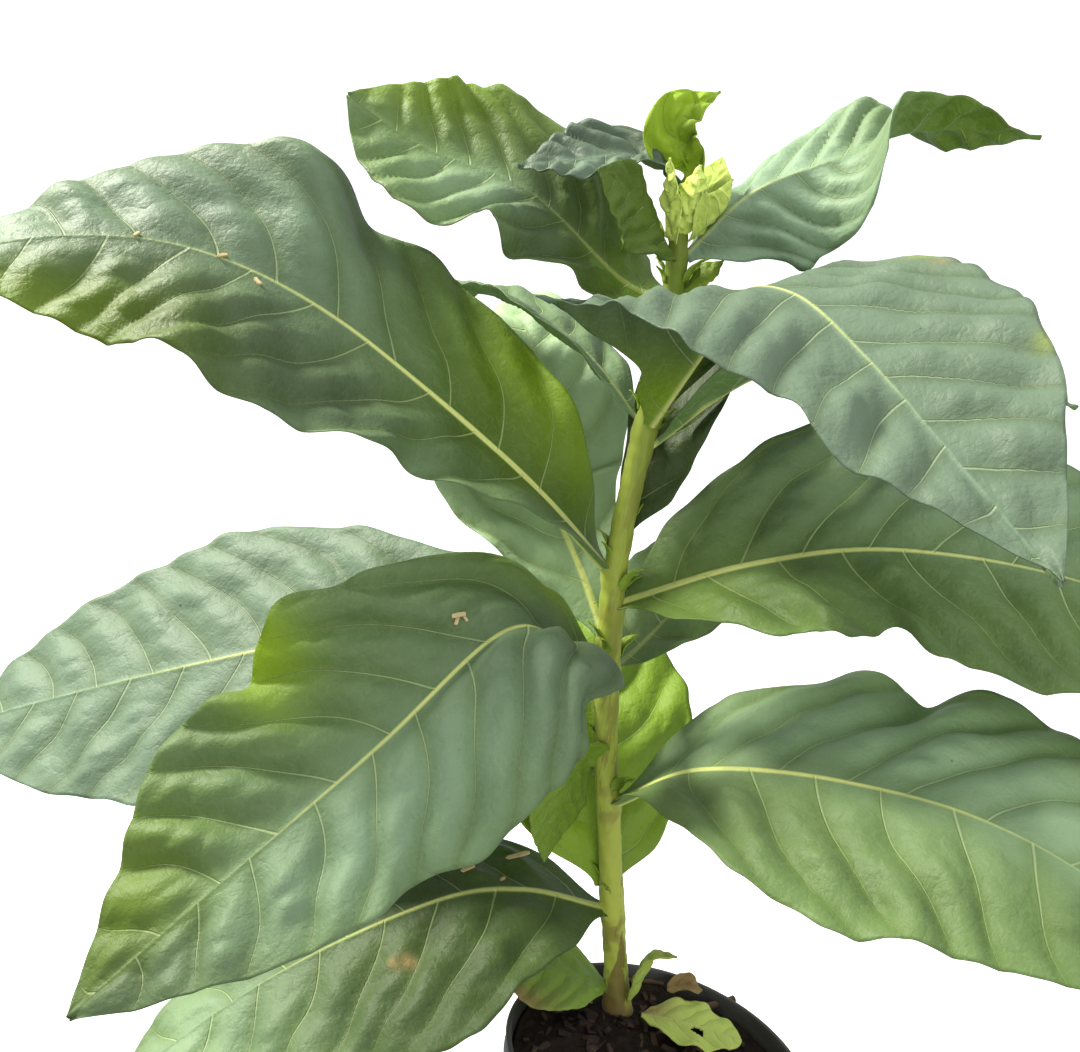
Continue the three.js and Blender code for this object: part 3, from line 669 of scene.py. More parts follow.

# %% [markdown]
# A leaf's look changes from one to the next: the low left leaves shine grey with painted sheen, the
# crown's are young, some are lit through from behind, and some are darkened by painted shade. Patches
# are ellipses in the leaf's own measure, from base to tip and from the left margin at -1 to the right
# margin at 1.

# %% How each leaf looks
# grey bloom with painted sheen, light through, youth, dryness, and painted shade (painted light below
# 0): how much of each, all over. veins: side veins on each half.
# ruffle: height of the margin's waves in millimetres and how many. crinkle: the puckers' height, as a
# share of the usual. spots: (kind, along, across, half length, half width, amount to add).
# flesh: the margin's thickness as a share of the rib's. hole: (along, across, radius).
LOOKS = {
    "leaf_foot_left": dict(
        bloom_and_sheen=0.3, lit=0.5, painted_shade_and_light=-0.25, ruffle=(2.0, 2.5), veins=6,
        spots=[("dry", 0.75, 0.9, 0.3, 0.5, 1.0), ("dry", 0.75, -0.9, 0.25, 0.4, 0.9)],
    ),
    "shoot_foot_right": dict(young=0.7, lit=0.2, ruffle=(0.3, 1), veins=4, flesh=0.55),
    "leaf_left_low": dict(
        bloom_and_sheen=0.1, painted_shade_and_light=0.15, ruffle=(2.2, 3.2), veins=9, crinkle=1.1,
        spots=[
            ("bloom_and_sheen", 0.8, 0, 0.25, 1.2, 0.45), ("painted_shade_and_light", 0.35, 0, 0.3, 3, 0.3),
            ("painted_shade_and_light", 0.85, 0, 0.2, 3, -0.35), ("dry", 0.42, -0.35, 0.012, 0.05, 0.9),
            ("dry", 0.445, -0.33, 0.008, 0.04, 0.8),
        ],
    ),
    "leaf_rear_low": dict(
        bloom_and_sheen=0.25, lit=0.65, painted_shade_and_light=-0.2, ruffle=(2.5, 3), veins=8,
        spots=[("lit", 0.3, -0.6, 0.3, 0.6, 0.2), ("painted_shade_and_light", 0.75, 0.3, 0.3, 0.6, 0.25)],
    ),
    "leaf_right_low": dict(
        bloom_and_sheen=0.25, lit=0.12, ruffle=(2.0, 3.6), veins=10, crinkle=1.2,
        spots=[
            ("bloom_and_sheen", 0.3, -0.5, 0.3, 0.5, 0.6), ("bloom_and_sheen", 0.65, -0.3, 0.2, 0.5, 0.5),
            ("painted_shade_and_light", 0.5, -0.6, 0.4, 0.5, -0.3), ("painted_shade_and_light", 0.5, 0.6, 0.4, 0.5, 0.2),
        ],
    ),
    "leaf_small_hanging": dict(bloom_and_sheen=0.1, lit=0.5, ruffle=(1.5, 2.2), veins=6),
    "leaf_left_rear": dict(bloom_and_sheen=0.9, painted_shade_and_light=0.4, ruffle=(1.6, 4), veins=12, crinkle=0.6),
    "leaf_front": dict(
        bloom_and_sheen=0.2, painted_shade_and_light=0.1, ruffle=(1.2, 4), veins=10, crinkle=1.6,
        spots=[
            ("lit", 0.52, 0.95, 0.08, 0.35, 1.0), ("lit", 0.87, 0.6, 0.11, 0.7, 0.6),
            ("lit", 0.13, 0.95, 0.08, 0.3, 0.6), ("bloom_and_sheen", 0.6, -0.45, 0.3, 0.5, 0.5),
            ("bloom_and_sheen", 0.15, -0.5, 0.2, 1, 0.3), ("painted_shade_and_light", 0.12, -0.4, 0.18, 0.7, 0.3),
            ("painted_shade_and_light", 0.45, -0.6, 0.2, 0.4, -0.15), ("painted_shade_and_light", 0.92, 0, 0.17, 3, 0.4),
        ],
    ),
    "leaf_rear_right": dict(bloom_and_sheen=0.2, ruffle=(1.5, 3), veins=7),
    "leaf_rear_left": dict(bloom_and_sheen=0.7, young=0.08, painted_shade_and_light=-0.35, ruffle=(2.4, 4), veins=9),
    "leaf_right_mid": dict(
        bloom_and_sheen=0.12, painted_shade_and_light=-0.05, ruffle=(1.4, 4.2), veins=11, crinkle=1.15,
        spots=[("bloom_and_sheen", 0.5, -0.6, 0.3, 0.6, 0.4), ("lit", 0.05, 0.5, 0.15, 0.9, 0.3)],
    ),
    "leaf_left_long": dict(
        bloom_and_sheen=0.4, ruffle=(1.2, 4.5), veins=12,
        spots=[
            ("lit", 0.74, -0.85, 0.16, 0.45, 0.6), ("bloom_and_sheen", 0.2, 0.4, 0.22, 1.2, -0.5),
            ("bloom_and_sheen", 0.78, -0.85, 0.2, 0.5, -0.6), ("bloom_and_sheen", 0.7, 0.5, 0.25, 0.5, 0.35),
            ("lit", 0.22, 0.9, 0.18, 0.5, 0.5), ("painted_shade_and_light", 0.7, 0.3, 0.25, 2, 0.45),
            ("painted_shade_and_light", 0.42, -0.6, 0.2, 0.5, 0.4), ("painted_shade_and_light", 0.76, -0.9, 0.2, 0.4, 0.25),
            ("lit", 0.84, -0.9, 0.12, 0.4, 0.35),
        ],
    ),
    "leaf_rear_upper": dict(bloom_and_sheen=0.1, painted_shade_and_light=0.5, ruffle=(2.0, 3), veins=8),
    "leaf_rear_right_high": dict(bloom_and_sheen=0.4, ruffle=(2.0, 3.2), veins=8),
    "leaf_right_near": dict(
        bloom_and_sheen=0.85, painted_shade_and_light=0.52, ruffle=(1.2, 3), veins=11,
        spots=[
            ("lit", 0.06, 0, 0.1, 2, 0.8), ("bloom_and_sheen", 0.06, 0, 0.12, 2, -0.8),
            ("painted_shade_and_light", 0.05, 0, 0.12, 2, -0.4), ("young", 0.39, -0.97, 0.02, 0.1, 0.8),
            ("dry", 0.43, -0.9, 0.012, 0.06, 0.8), ("young", 0.69, -0.97, 0.015, 0.08, 0.7),
        ],
    ),
    "leaf_rear_left_high": dict(bloom_and_sheen=0.4, ruffle=(2.0, 3), veins=7),
    "leaf_top_left": dict(
        bloom_and_sheen=0.2, lit=0.05, ruffle=(2.0, 4.5), veins=9, crinkle=1.7,
        spots=[
            ("lit", 0.8, 0.8, 0.25, 0.5, 0.6), ("bloom_and_sheen", 0.55, -0.3, 0.2, 0.5, 0.5),
            ("lit", 0.1, 0, 0.15, 1, 0.5), ("painted_shade_and_light", 0.6, 0.6, 0.35, 0.6, 0.55),
            ("lit", 0.55, 0.6, 0.3, 0.5, 0.3), ("painted_shade_and_light", 0.3, -0.6, 0.2, 0.6, 0.5),
        ],
    ),
    "leaf_small_right": dict(lit=0.5, young=0.2, ruffle=(1.0, 2), veins=4),
    "leaf_top_front": dict(lit=0.25, painted_shade_and_light=0.4, ruffle=(1.6, 3), veins=6, crinkle=2.0),
    "leaf_top_right": dict(
        bloom_and_sheen=0.8, painted_shade_and_light=-0.05, ruffle=(2.0, 4), veins=10, crinkle=2.0,
        spots=[
            ("lit", 0.85, 0, 0.22, 1.5, 0.35), ("bloom_and_sheen", 0.85, 0, 0.25, 2, -0.95),
            ("painted_shade_and_light", 0.85, 0, 0.2, 2, 0.3), ("painted_shade_and_light", 0.1, 0.3, 0.2, 0.8, 0.4),
        ],
    ),
    "leaf_top_folded": dict(
        bloom_and_sheen=0.9, painted_shade_and_light=0.68, ruffle=(2.0, 4), veins=7, crinkle=2.6,
        spots=[("painted_shade_and_light", 0.55, -0.4, 0.4, 0.6, -0.2)],
    ),
    "leaf_crown_tip": dict(
        lit=0.8, young=0.45, painted_shade_and_light=-0.15, ruffle=(1.6, 2.5), veins=5, crinkle=2.5,
        spots=[("painted_shade_and_light", 0.6, 0.7, 0.3, 0.6, 0.4)],
    ),
    "bud_leaf_left": dict(young=0.9, painted_shade_and_light=-0.1, ruffle=(2.0, 2.4), veins=5, crinkle=2.4),
    "bud_leaf_right": dict(young=0.85, painted_shade_and_light=-0.1, ruffle=(1.4, 2), veins=5, crinkle=2.4),
    "bud_leaf_strap": dict(young=1.0, painted_shade_and_light=-0.15, ruffle=(1.0, 2), veins=4, crinkle=2.0),
    "bud_leaf_centre": dict(young=1.0, painted_shade_and_light=-0.15, ruffle=(1.5, 2), veins=5, crinkle=2.4),
    "bud_leaf_rear": dict(young=0.85, lit=0.3, ruffle=(1.2, 2), veins=5),
    "leaf_on_mix": dict(
        young=0.85, painted_shade_and_light=-0.3, ruffle=(1.6, 3), veins=5, spots=[("dry", 0.02, -0.6, 0.3, 0.8, 1.0)],
        hole=(0.55, 0.25, 0.055),
    ),
    "dead_leaf_left": dict(dry=1.0, ruffle=(2.0, 3), veins=5),
    "dead_leaf_curled": dict(dry=1.0, ruffle=(1.5, 2), veins=4),
}

# %% [markdown]
# The curve through a short list of points is a Catmull-Rom spline, which passes through each of them.
# The blade's half width is a sine up to the widest place and a cosine down to the tip.


# %% Curves and outlines
def smooth(points, t):
    """The smooth curve through evenly spaced points, at each t from 0 to 1."""
    points = np.asarray(points, float)
    points = points.reshape(len(points), -1)
    if len(points) == 1:
        return np.repeat(points, len(t), axis=0)
    ends = np.vstack([2 * points[0] - points[1], points, 2 * points[-1] - points[-2]])
    place = np.clip(t, 0, 1) * (len(points) - 1)
    first = np.minimum(place.astype(int), len(points) - 2)
    f = (place - first)[:, None]
    a, b, c, d = (ends[first + k] for k in range(4))
    return 0.5 * (
        2 * b + (c - a) * f + (2 * a - 5 * b + 4 * c - d) * f**2 + (3 * b - a - 3 * c + d) * f**3
    )


def soft_step(value, low, high):
    t = np.clip((value - low) / (high - low), 0, 1)
    return t * t * (3 - 2 * t)


STALK_SHARE = 0.3


def outline(u, widest, wing, point):
    """Half width of one side, as a share of its greatest, from base to tip."""
    stalk = STALK_SHARE + (1 - STALK_SHARE) * soft_step(u, 0, 0.1)
    before = wing + (1 - wing) * np.sin(math.pi / 2 * np.minimum(u / widest, 1)) ** 1.3
    after = np.cos(math.pi / 2 * np.clip((u - widest) / (1 - widest), 0, 1)) ** point
    return stalk * np.where(u < widest, before, after)


def hump(humps, side, u):
    """The sum of one side's smooth humps, each (side, place, length, height), at u."""
    own = [row[1:] for row in humps if row[0] == side]
    return sum(height * np.exp(-(((u - place) / length) ** 2)) for place, length, height in own)


def unit(vectors):
    return vectors / np.linalg.norm(vectors, axis=-1, keepdims=True)


def by_side(value):
    """A pair for the left and the right side, from a pair or from one number for both."""
    return value if isinstance(value, tuple) else (value, value)


# %% [markdown]
# One leaf starts as a flat grid whose columns crowd towards the midrib. Every point has a place
# along the leaf, u, and across it, v, and moves to where that place is on the bent blade. Its two
# halves bend as arcs that meet at the midrib, in a rounded valley rather than a crease.

# %% From a grid to a bent blade
ROOT_DEPTH = 1.5 * MM
TIP_HALF_WIDTH = 0.7 * MM
MIDRIB_STEPS = 400
SWELL_SLANT = 0.08
VALLEY_RADIUS = 3.0 * MM
LEAST_CURL = 1e-4
SIDES = ("left", "right")
USUAL_OUTLINE = {"widest": 0.45, "wing": 0.12, "point": 0.95}


class BentBlade:
    """A leaf's smooth surface, at every point of a grid of places u along and v across."""

    def __init__(self, name, leaf, u, v):
        self.u, self.v = u, v
        self.beside = np.abs(v)
        self.on_right = v > 0
        self.seed = sum(map(ord, name)) * 0.7
        self.lay_midrib(leaf)
        self.shape_halves(leaf)
        self.bend_halves(leaf)

    def wave(self, turns):
        """A smooth wandering number between about -1 and 1 that differs by leaf."""
        a = np.sin(turns * 2.1 * self.u + 3.1 * self.v + self.seed)
        b = np.sin(turns * 4.7 * self.u - 2.3 * self.v + self.seed * 1.7)
        return 0.6 * a + 0.4 * b

    def lay_midrib(self, leaf):
        """The midrib's line through each point's row, and which way is left and up there."""
        heading = math.radians(leaf["heading"])
        outwards = np.array([math.cos(heading), math.sin(heading), 0])
        leftwards = np.array([-math.sin(heading), math.cos(heading), 0])
        if "base" in leaf:
            base, start = np.array(leaf["base"]) * MM, 0.0
        else:
            base, radius = stem_at(leaf["at"] * MM)
            start = radius - ROOT_DEPTH
        line = [base + outwards * start]
        for reach, height, *shift in leaf["midrib"]:
            aside = shift[0] if shift else 0
            line.append(base + (outwards * reach + leftwards * aside + Vector((0, 0, height))) * MM)
        fine = smooth(line, np.linspace(0, 1, MIDRIB_STEPS))
        run = np.r_[0, np.cumsum(np.linalg.norm(np.diff(fine, axis=0), axis=1))]
        slope = np.gradient(fine, run, axis=0)
        self.length = run[-1]
        self.along = self.u * self.length
        self.centre, forwards = (
            np.stack([np.interp(self.along, run, table[:, k]) for k in range(3)], -1)
            for table in (fine, slope)
        )
        forwards = unit(forwards)
        self.left = unit(leftwards - (forwards @ leftwards)[:, None] * forwards)
        self.upwards = np.cross(forwards, self.left)

    def shape_halves(self, leaf):
        """How far each half is lifted and curled, how wide it is, and how far it swells."""
        self.lift, self.curl, self.half, self.swell = (np.zeros_like(self.u) for _ in range(4))
        self.half_full = leaf["width"] / 2 * MM
        for side, key in enumerate(SIDES):
            here = self.on_right == bool(side)
            u, beside = self.u[here], self.beside[here]
            self.lift[here] = np.radians(smooth(leaf[key], u)[:, 0])
            self.curl[here] = np.radians(smooth(leaf.get(key + "_curl", [0]), u)[:, 0])
            full = leaf["width"] / 2 * by_side(leaf.get("share", 1))[side] * MM
            shape = [by_side(leaf.get(part, usual))[side] for part, usual in USUAL_OUTLINE.items()]
            drawn_in = 1 - hump(leaf.get("bays", []), key, u)
            self.half[here] = np.maximum(full * drawn_in * outline(u, *shape), TIP_HALF_WIDTH)
            veinward = u + SWELL_SLANT * (1 - beside)
            self.swell[here] = hump(leaf.get("waves", []), key, veinward) * beside**2 * MM
        wobble = 0.03 * self.wave(7.0) + 0.016 * self.wave(19.0)
        self.half *= 1 + wobble * soft_step(self.beside, 0.3, 1)
        self.across = self.half * self.v

    def bend_halves(self, leaf):
        """Moves each point out along its half's arc, and rounds the valley over the midrib."""
        curl = np.where(np.abs(self.curl) < LEAST_CURL, LEAST_CURL, self.curl)
        bend = self.lift + curl * self.beside
        reach = self.half * (np.sin(bend) - np.sin(self.lift)) / curl
        rise = self.half * (np.cos(self.lift) - np.cos(bend)) / curl
        sideways = np.where(self.on_right[:, None], -self.left, self.left)
        outer = np.cos(bend)[:, None] * self.upwards - np.sin(bend)[:, None] * sideways
        on_left, on_right = (np.radians(smooth(leaf[key], self.u)[:, 0]) for key in SIDES)
        aside = self.half * self.beside
        valley = (np.sin(on_left) + np.sin(on_right)) / 2
        rounding = valley * (np.hypot(aside, VALLEY_RADIUS) - aside)
        middle = unit(
            (np.cos(on_left) + np.cos(on_right))[:, None] * self.upwards
            + (np.sin(on_right) - np.sin(on_left))[:, None] * self.left
        )
        far = soft_step(aside, 0, 1.5 * VALLEY_RADIUS)[:, None]
        self.normals = unit(far * outer + (1 - far) * middle)
        self.points = self.centre + reach[:, None] * sideways + (rise + rounding)[:, None] * self.upwards
        self.points = self.points + self.swell[:, None] * self.normals


# %% [markdown]
# The bent blade is still smooth. The living one is quilted: it puffs up between its side veins, and
# again between the smaller veins that join them like the rungs of a ladder. Its rib stands up as a
# ridge, its margin waves, and slow swells run over all of it. Each is a height, and their sum moves
# the points along the blade's normals, because a bump in the material wouldn't show in outline.

# %% The relief of a blade
VEIN_SLANT = 0.42
VEIN_ARCH = 0.62
VEIN_WANDER = 0.10
VEIN_OFFSET = 0.42
USUAL_SPACING = 30 * MM
PUCKER = 3.8 * MM
GROOVE_ROUNDING = 0.12
LADDER_STEP = 13 * MM
LADDER_SHARE = 0.5
USUAL_RIB = 1.8 * MM
BILLOW = 1.6 * MM
BILLOW_LENGTH = 62 * MM


def cushion(share):
    """The puff between two veins: low and rounded on a vein, at 0, and high half way, at 1."""
    softened = np.sqrt(share**2 + GROOVE_ROUNDING**2) - GROOVE_ROUNDING
    return np.sin(math.pi / 2 * np.minimum(softened, 1)) ** 0.85 - 0.5


def from_whole(count):
    """How far a count is from the nearest whole number: 0 on it and 1 half way between two."""
    return np.abs((count + 0.5) % 1 - 0.5) * 2


class Blade(BentBlade):
    """A leaf's surface with its veins counted, its relief on it and its looks dealt out."""

    def __init__(self, name, leaf, look, u, v):
        super().__init__(name, leaf, u, v)
        self.count_veins(look["veins"])
        relief = self.pucker(look.get("crinkle", 1)) + self.ridge() + self.ruffle(*look["ruffle"])
        relief = relief + self.billow()
        self.points = self.points + relief[:, None] * self.normals
        self.deal_looks(look)

    def count_veins(self, veins):
        """Where each point lies between the side veins: a whole number is on a vein."""
        self.spacing = self.length / veins
        aside = np.abs(self.across)
        back = VEIN_SLANT * aside + VEIN_ARCH * aside**2 / self.half_full
        self.vein_left = (self.along - back) / self.spacing + VEIN_WANDER * self.wave(9.0)
        self.vein_right = self.vein_left + VEIN_OFFSET

    def pucker(self, crinkle):
        """The puffs between the side veins, and the smaller ones between the ladder's rungs."""
        count = np.where(self.on_right, self.vein_right, self.vein_left)
        from_vein = from_whole(count)
        room = soft_step(self.beside, 0.02, 0.3) * (1 - 0.5 * soft_step(self.beside, 0.7, 1))
        room *= soft_step(self.u, 0.06, 0.2) * (1 - 0.6 * soft_step(self.u, 0.8, 1))
        ladder = np.abs(self.across) / LADDER_STEP + 0.37 * np.floor(count) + 0.35 * self.wave(13.0)
        rungs = LADDER_SHARE * (0.6 + 0.6 * self.wave(17.0)) * cushion(from_whole(ladder)) * from_vein
        puff = cushion(from_vein) + rungs
        return PUCKER * min(self.spacing / USUAL_SPACING, 1.2) * puff * room * crinkle

    def ridge(self):
        """The rib's ridge. The blade is thick there too, most of all near the stalk."""
        width = (0.6 + 1.85 * (1 - self.u) ** 1.2) * MM * min(1, self.length / 0.18 + 0.25)
        rib = np.exp(-((self.across / width) ** 2))
        self.rib = rib * (1 - 0.5 * soft_step(self.u, 0.7, 1))
        self.thick = np.clip(rib * (width / USUAL_RIB) ** 1.2, 0, 1) * min(1, self.length / 0.3)
        return rib * 0.4 * width

    def ruffle(self, height, turns):
        """The waves of the margin, so many millimetres high and so many along each side."""
        phase = np.where(self.on_right, 2.1, 0) + self.seed
        swing = np.sin(2 * math.pi * turns * self.u + phase + 0.8 * np.sin(5 * self.u + self.seed))
        ends = np.sin(math.pi * np.clip(self.u, 0, 1)) ** 0.6
        return height * MM * self.beside**2.2 * swing * ends

    def billow(self):
        """Slow swells over the whole blade, lower on a small leaf."""
        a, b = (2 * math.pi * place / BILLOW_LENGTH for place in (self.along, self.across))
        swell = np.sin(a + 0.7 * b + self.seed) * np.sin(b - 0.4 * a + 2 * self.seed)
        swell += 0.5 * np.sin(1.9 * a - b + 3 * self.seed)
        room = soft_step(self.beside, 0, 0.5) * soft_step(self.u, 0.05, 0.25)
        return BILLOW * min(self.length / 0.25, 1) * swell * room

    def deal_looks(self, look):
        """How much of each look a point has: the leaf's own, and what its spots add there."""
        self.looks = {kind: np.full_like(self.u, look.get(kind, 0.0)) for kind in LOOK_KINDS}
        for kind, along, across, long, wide, amount in look.get("spots", []):
            away = ((self.u - along) / long) ** 2 + ((self.v - across) / wide) ** 2
            self.looks[kind] = np.clip(self.looks[kind] + amount * np.exp(-away), -1, 1)


# %% [markdown]
# The grid has to know its own pattern. Values that belong to a corner of a face, such as the count
# of the side veins, which jumps from one half of the leaf to the other, go in a UV map. Values that
# belong to a point go in an attribute.


# %% What a leaf's mesh knows of itself
def grid_places(piece):
    """Places u and v of a grid's points. The columns crowd towards the middle."""
    flat = read_points(piece)
    u = (flat[:, 1] + 1) / 2
    v = np.sign(flat[:, 0]) * np.abs(flat[:, 0]) ** 1.3
    return u, v


def face_corners(mesh, v):
    """The point of each face corner, and whether its face is on the leaf's right half."""
    corners = np.empty(len(mesh.loops), dtype=np.int32)
    mesh.loops.foreach_get("vertex_index", corners)
    starts = np.empty(len(mesh.polygons), dtype=np.int32)
    mesh.polygons.foreach_get("loop_start", starts)
    on_right = np.add.reduceat(v[corners], starts) > 0
    return corners, np.repeat(on_right, np.diff(np.r_[starts, len(corners)]))


def add_map(mesh, name, values):
    layer = mesh.uv_layers.get(name) or mesh.uv_layers.new(name=name)
    layer.data.foreach_set("uv", np.ascontiguousarray(values, dtype=np.float32).ravel())


def write_pattern(mesh, blade):
    """The blade's maps and attributes, by the names that the finish reads."""
    corners, on_right = face_corners(mesh, blade.v)
    count = np.where(on_right, blade.vein_right[corners], blade.vein_left[corners])
    mesh.uv_layers[0].name = "blade"
    add_map(mesh, "blade", np.stack([blade.along[corners], blade.across[corners]], -1))
    add_map(mesh, "veins", np.stack([count, blade.v[corners]], -1))
    for kind, values in {**blade.looks, "rib": blade.rib}.items():
        attribute = mesh.attributes.new(kind, "FLOAT", "POINT")
        attribute.data.foreach_set("value", values.astype(np.float32))


# %% [markdown]
# A blade has no thickness yet. A Solidify modifier gives it one, downwards, and puts the second
# material on the new lower side. A vertex group tells it where the rib is, so that the leaf is
# fleshy there and thin at the margin. One leaf has a hole, whose points are simply deleted first.

# %% Making one leaf
RIB_THICKNESS = 4.2 * MM
BLADE_SHARE = 0.12
HOLED_THICKNESS = 0.8 * MM
ROW_STEP = 2.0 * MM
COLUMN_STEP = 2.0 * MM
MOST_ROWS = 190
MOST_COLUMNS = 80
HALF_WIDTH_TO_LENGTH = 0.35


def open_hole(mesh, u, v, along, across, radius):
    """Deletes the points of a small round place, as a slug leaves it."""
    away = np.hypot(u - along, (v - across) * HALF_WIDTH_TO_LENGTH)
    mesh.edges.foreach_set("select", np.zeros(len(mesh.edges), dtype=bool))
    mesh.polygons.foreach_set("select", np.zeros(len(mesh.polygons), dtype=bool))
    mesh.vertices.foreach_set("select", away < radius)
    bpy.ops.object.mode_set(mode="EDIT")
    bpy.ops.mesh.delete(type="VERT")
    bpy.ops.object.mode_set(mode="OBJECT")


def thicken(piece, blade, look):
    """Gives the blade its thickness, which is even where it has a hole."""
    wall = piece.modifiers.new("wall", "SOLIDIFY")
    wall.offset = -1
    wall.material_offset = 1
    wall.material_offset_rim = 0
    if "hole" in look:
        wall.thickness = HOLED_THICKNESS
    else:
        group = piece.vertex_groups.new(name="rib")
        thick = np.round(blade.thick, 2)
        for level in np.unique(thick):
            group.add(np.flatnonzero(thick == level).tolist(), float(level), "REPLACE")
        size = 0.35 + 0.65 * min(1, blade.length / 0.3)
        wall.thickness = RIB_THICKNESS * size
        wall.vertex_group = "rib"
        wall.thickness_vertex_group = look.get("flesh", BLADE_SHARE / size)
    bpy.ops.object.modifier_apply(modifier="wall")


def add_leaf(name, leaf, look, fewest=(64, 32)):
    """A leaf's piece. Large leaves get more rows and columns than the fewest."""
    reach = Vector(leaf["midrib"][-1]).length * MM
    rows = int(np.clip(reach * 1.08 / ROW_STEP, fewest[0], MOST_ROWS))
    columns = 2 * int(np.clip(leaf["width"] * MM / COLUMN_STEP, fewest[1], MOST_COLUMNS) / 2)
    piece = add_grid(name + "_leaf", columns, rows)
    u, v = grid_places(piece)
    blade = Blade(name, leaf, look, u, v)
    write_pattern(piece.data, blade)
    write_points(piece, blade.points)
    if "hole" in look:
        open_hole(piece.data, u, v, *look["hole"])
    piece.data.materials.append(leaf_upper)
    piece.data.materials.append(leaf_lower)
    thicken(piece, blade, look)
    bpy.ops.object.shade_smooth()
    return piece


# %% [markdown]
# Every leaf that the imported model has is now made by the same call, from its row in each table.

# %% Making them all
leaf_pieces = {name: add_leaf(name, leaf, LOOKS[name]) for name, leaf in LEAVES.items()}
faces = sum(len(piece.data.polygons) for piece in leaf_pieces.values())
print("leaves:", len(leaf_pieces), "triangles:", 2 * faces)

# %% [markdown]
# In the axil of each older leaf sits a bud that has just opened: two leaflets a centimetre long.
# They are made by the leaves' own rule with far fewer rows, and joined into one piece.

# %% The axillary shoots
LOWEST_AXIL = 170
HIGHEST_AXIL = 480
SHOOT_LEAFLETS = [(-26, 1.0), (22, 0.7)]
SHOOT_LOOK = dict(young=0.35, lit=0.6, ruffle=(0.4, 2), veins=3)
SHOOT_GRID = (14, 8)
leaflets = []
for name, leaf in LEAVES.items():
    if not LOWEST_AXIL < leaf.get("at", 0) < HIGHEST_AXIL:
        continue
    vigour = 0.8 + 0.5 * abs(math.sin(leaf["at"]))
    for turn, share in SHOOT_LEAFLETS:
        size = vigour * share
        row = dict(
            at=leaf["at"] + 3, heading=leaf["heading"] + turn, width=8 * size,
            midrib=[(6 + size, 4 * size), (6 + 3 * size, 10 * size), (6 + 7 * size, 14 * size)],
            left=[50, 40, 20], right=[50, 40, 20],
        )
        leaflets.append(add_leaf(f"{name}_bud{turn}", row, SHOOT_LOOK, SHOOT_GRID))


def joined(name, pieces):
    bpy.ops.object.select_all(action="DESELECT")
    for piece in pieces:
        piece.select_set(True)
    bpy.context.view_layer.objects.active = pieces[0]
    bpy.ops.object.join()
    whole = bpy.context.object
    whole.name = whole.data.name = name
    return whole


shoots = joined("axillary_shoots", leaflets)
print("axillary shoots:", len(shoots.data.polygons), "faces")

# %% [markdown]
# The stem is round but not smooth: it swells under each leaf, and a low ridge runs down from each
# leaf's base. It starts as a grid that is wrapped round the stem's line and merged along its seam,
# because the stem's line and thickness are then given by the same table as the leaves' bases.

# %% The stem
STEM_RINGS = 300
STEM_SIDES = 64
KNOT_SWELL = 1.1 * MM
KNOT_LENGTH = 5.0 * MM
RIDGE_RISE = 0.5 * MM
RIDGE_REACH = 60 * MM
FLUTE_RISE = 0.12 * MM
RIPPLE_RISE = 0.1 * MM


def stem_radius(height, turn):
    """The stem's radius, with the swelling and the ridge that each leaf's base gives it."""
    _, radius = stem_at(height)
    for name, leaf in LEAVES.items():
        if "base" in leaf or name.startswith("bud"):
            continue
        top = leaf["at"] * MM
        heading = math.radians(leaf["heading"])
        facing = np.clip(np.cos(turn - heading), 0, 1)
        below = top - height
        size = min(1, leaf["width"] / 120)
        knot = np.exp(-((below - 1.5 * MM) / KNOT_LENGTH) ** 2) * (0.35 + 0.65 * facing)
        ridge = facing**10 * np.clip(1 - below / RIDGE_REACH, 0, 1) * (below > -2 * MM)
        radius = radius + size * (KNOT_SWELL * knot + RIDGE_RISE * ridge)
    return radius


stem = add_grid("stem_surface", STEM_SIDES, STEM_RINGS)
flat = read_points(stem)
height = (flat[:, 1] + 1) / 2 * (stem_table[-1, 2] - stem_table[0, 2]) + stem_table[0, 2]
turn = (flat[:, 0] + 1) * math.pi
flutes = FLUTE_RISE * np.sin(turn * 5 + height * 300)
radius = stem_radius(height, turn) + flutes + RIPPLE_RISE * np.sin(height * 900 + turn)
x, y = (np.interp(height, stem_table[:, 2], stem_table[:, k]) for k in (0, 1))
write_points(stem, np.stack([x + radius * np.cos(turn), y + radius * np.sin(turn), height], -1))
bpy.ops.object.mode_set(mode="EDIT")
bpy.ops.mesh.select_all(action="SELECT")
bpy.ops.mesh.remove_doubles(threshold=0.00002)
bpy.ops.mesh.select_all(action="DESELECT")
bpy.ops.mesh.select_non_manifold()
bpy.ops.mesh.edge_face_add()
bpy.ops.mesh.select_all(action="SELECT")
bpy.ops.mesh.normals_make_consistent(inside=False)
bpy.ops.object.mode_set(mode="OBJECT")
bpy.ops.object.shade_smooth()

# %% [markdown]
# The stem's skin is streaked lengthwise, so its noise is read at places squeezed together across and
# drawn out along. It is paler low down and a darker, deeper green towards the tip. Old scars are brown:
# small ones from one noise, and long rubbed ones from another. The figures in below() on the height
# are metres.

# %% The stem's finish
STEM_GREEN = screen_colour(122, 142, 38)
STEM_PALE = screen_colour(198, 208, 86)
STEM_BROWN = screen_colour(120, 96, 54)
STEM_TOP_GREEN = screen_colour(88, 116, 12)
STREAKS = (260.0, 260.0, 22.0)
RUBBED = (95.0, 95.0, 14.0)

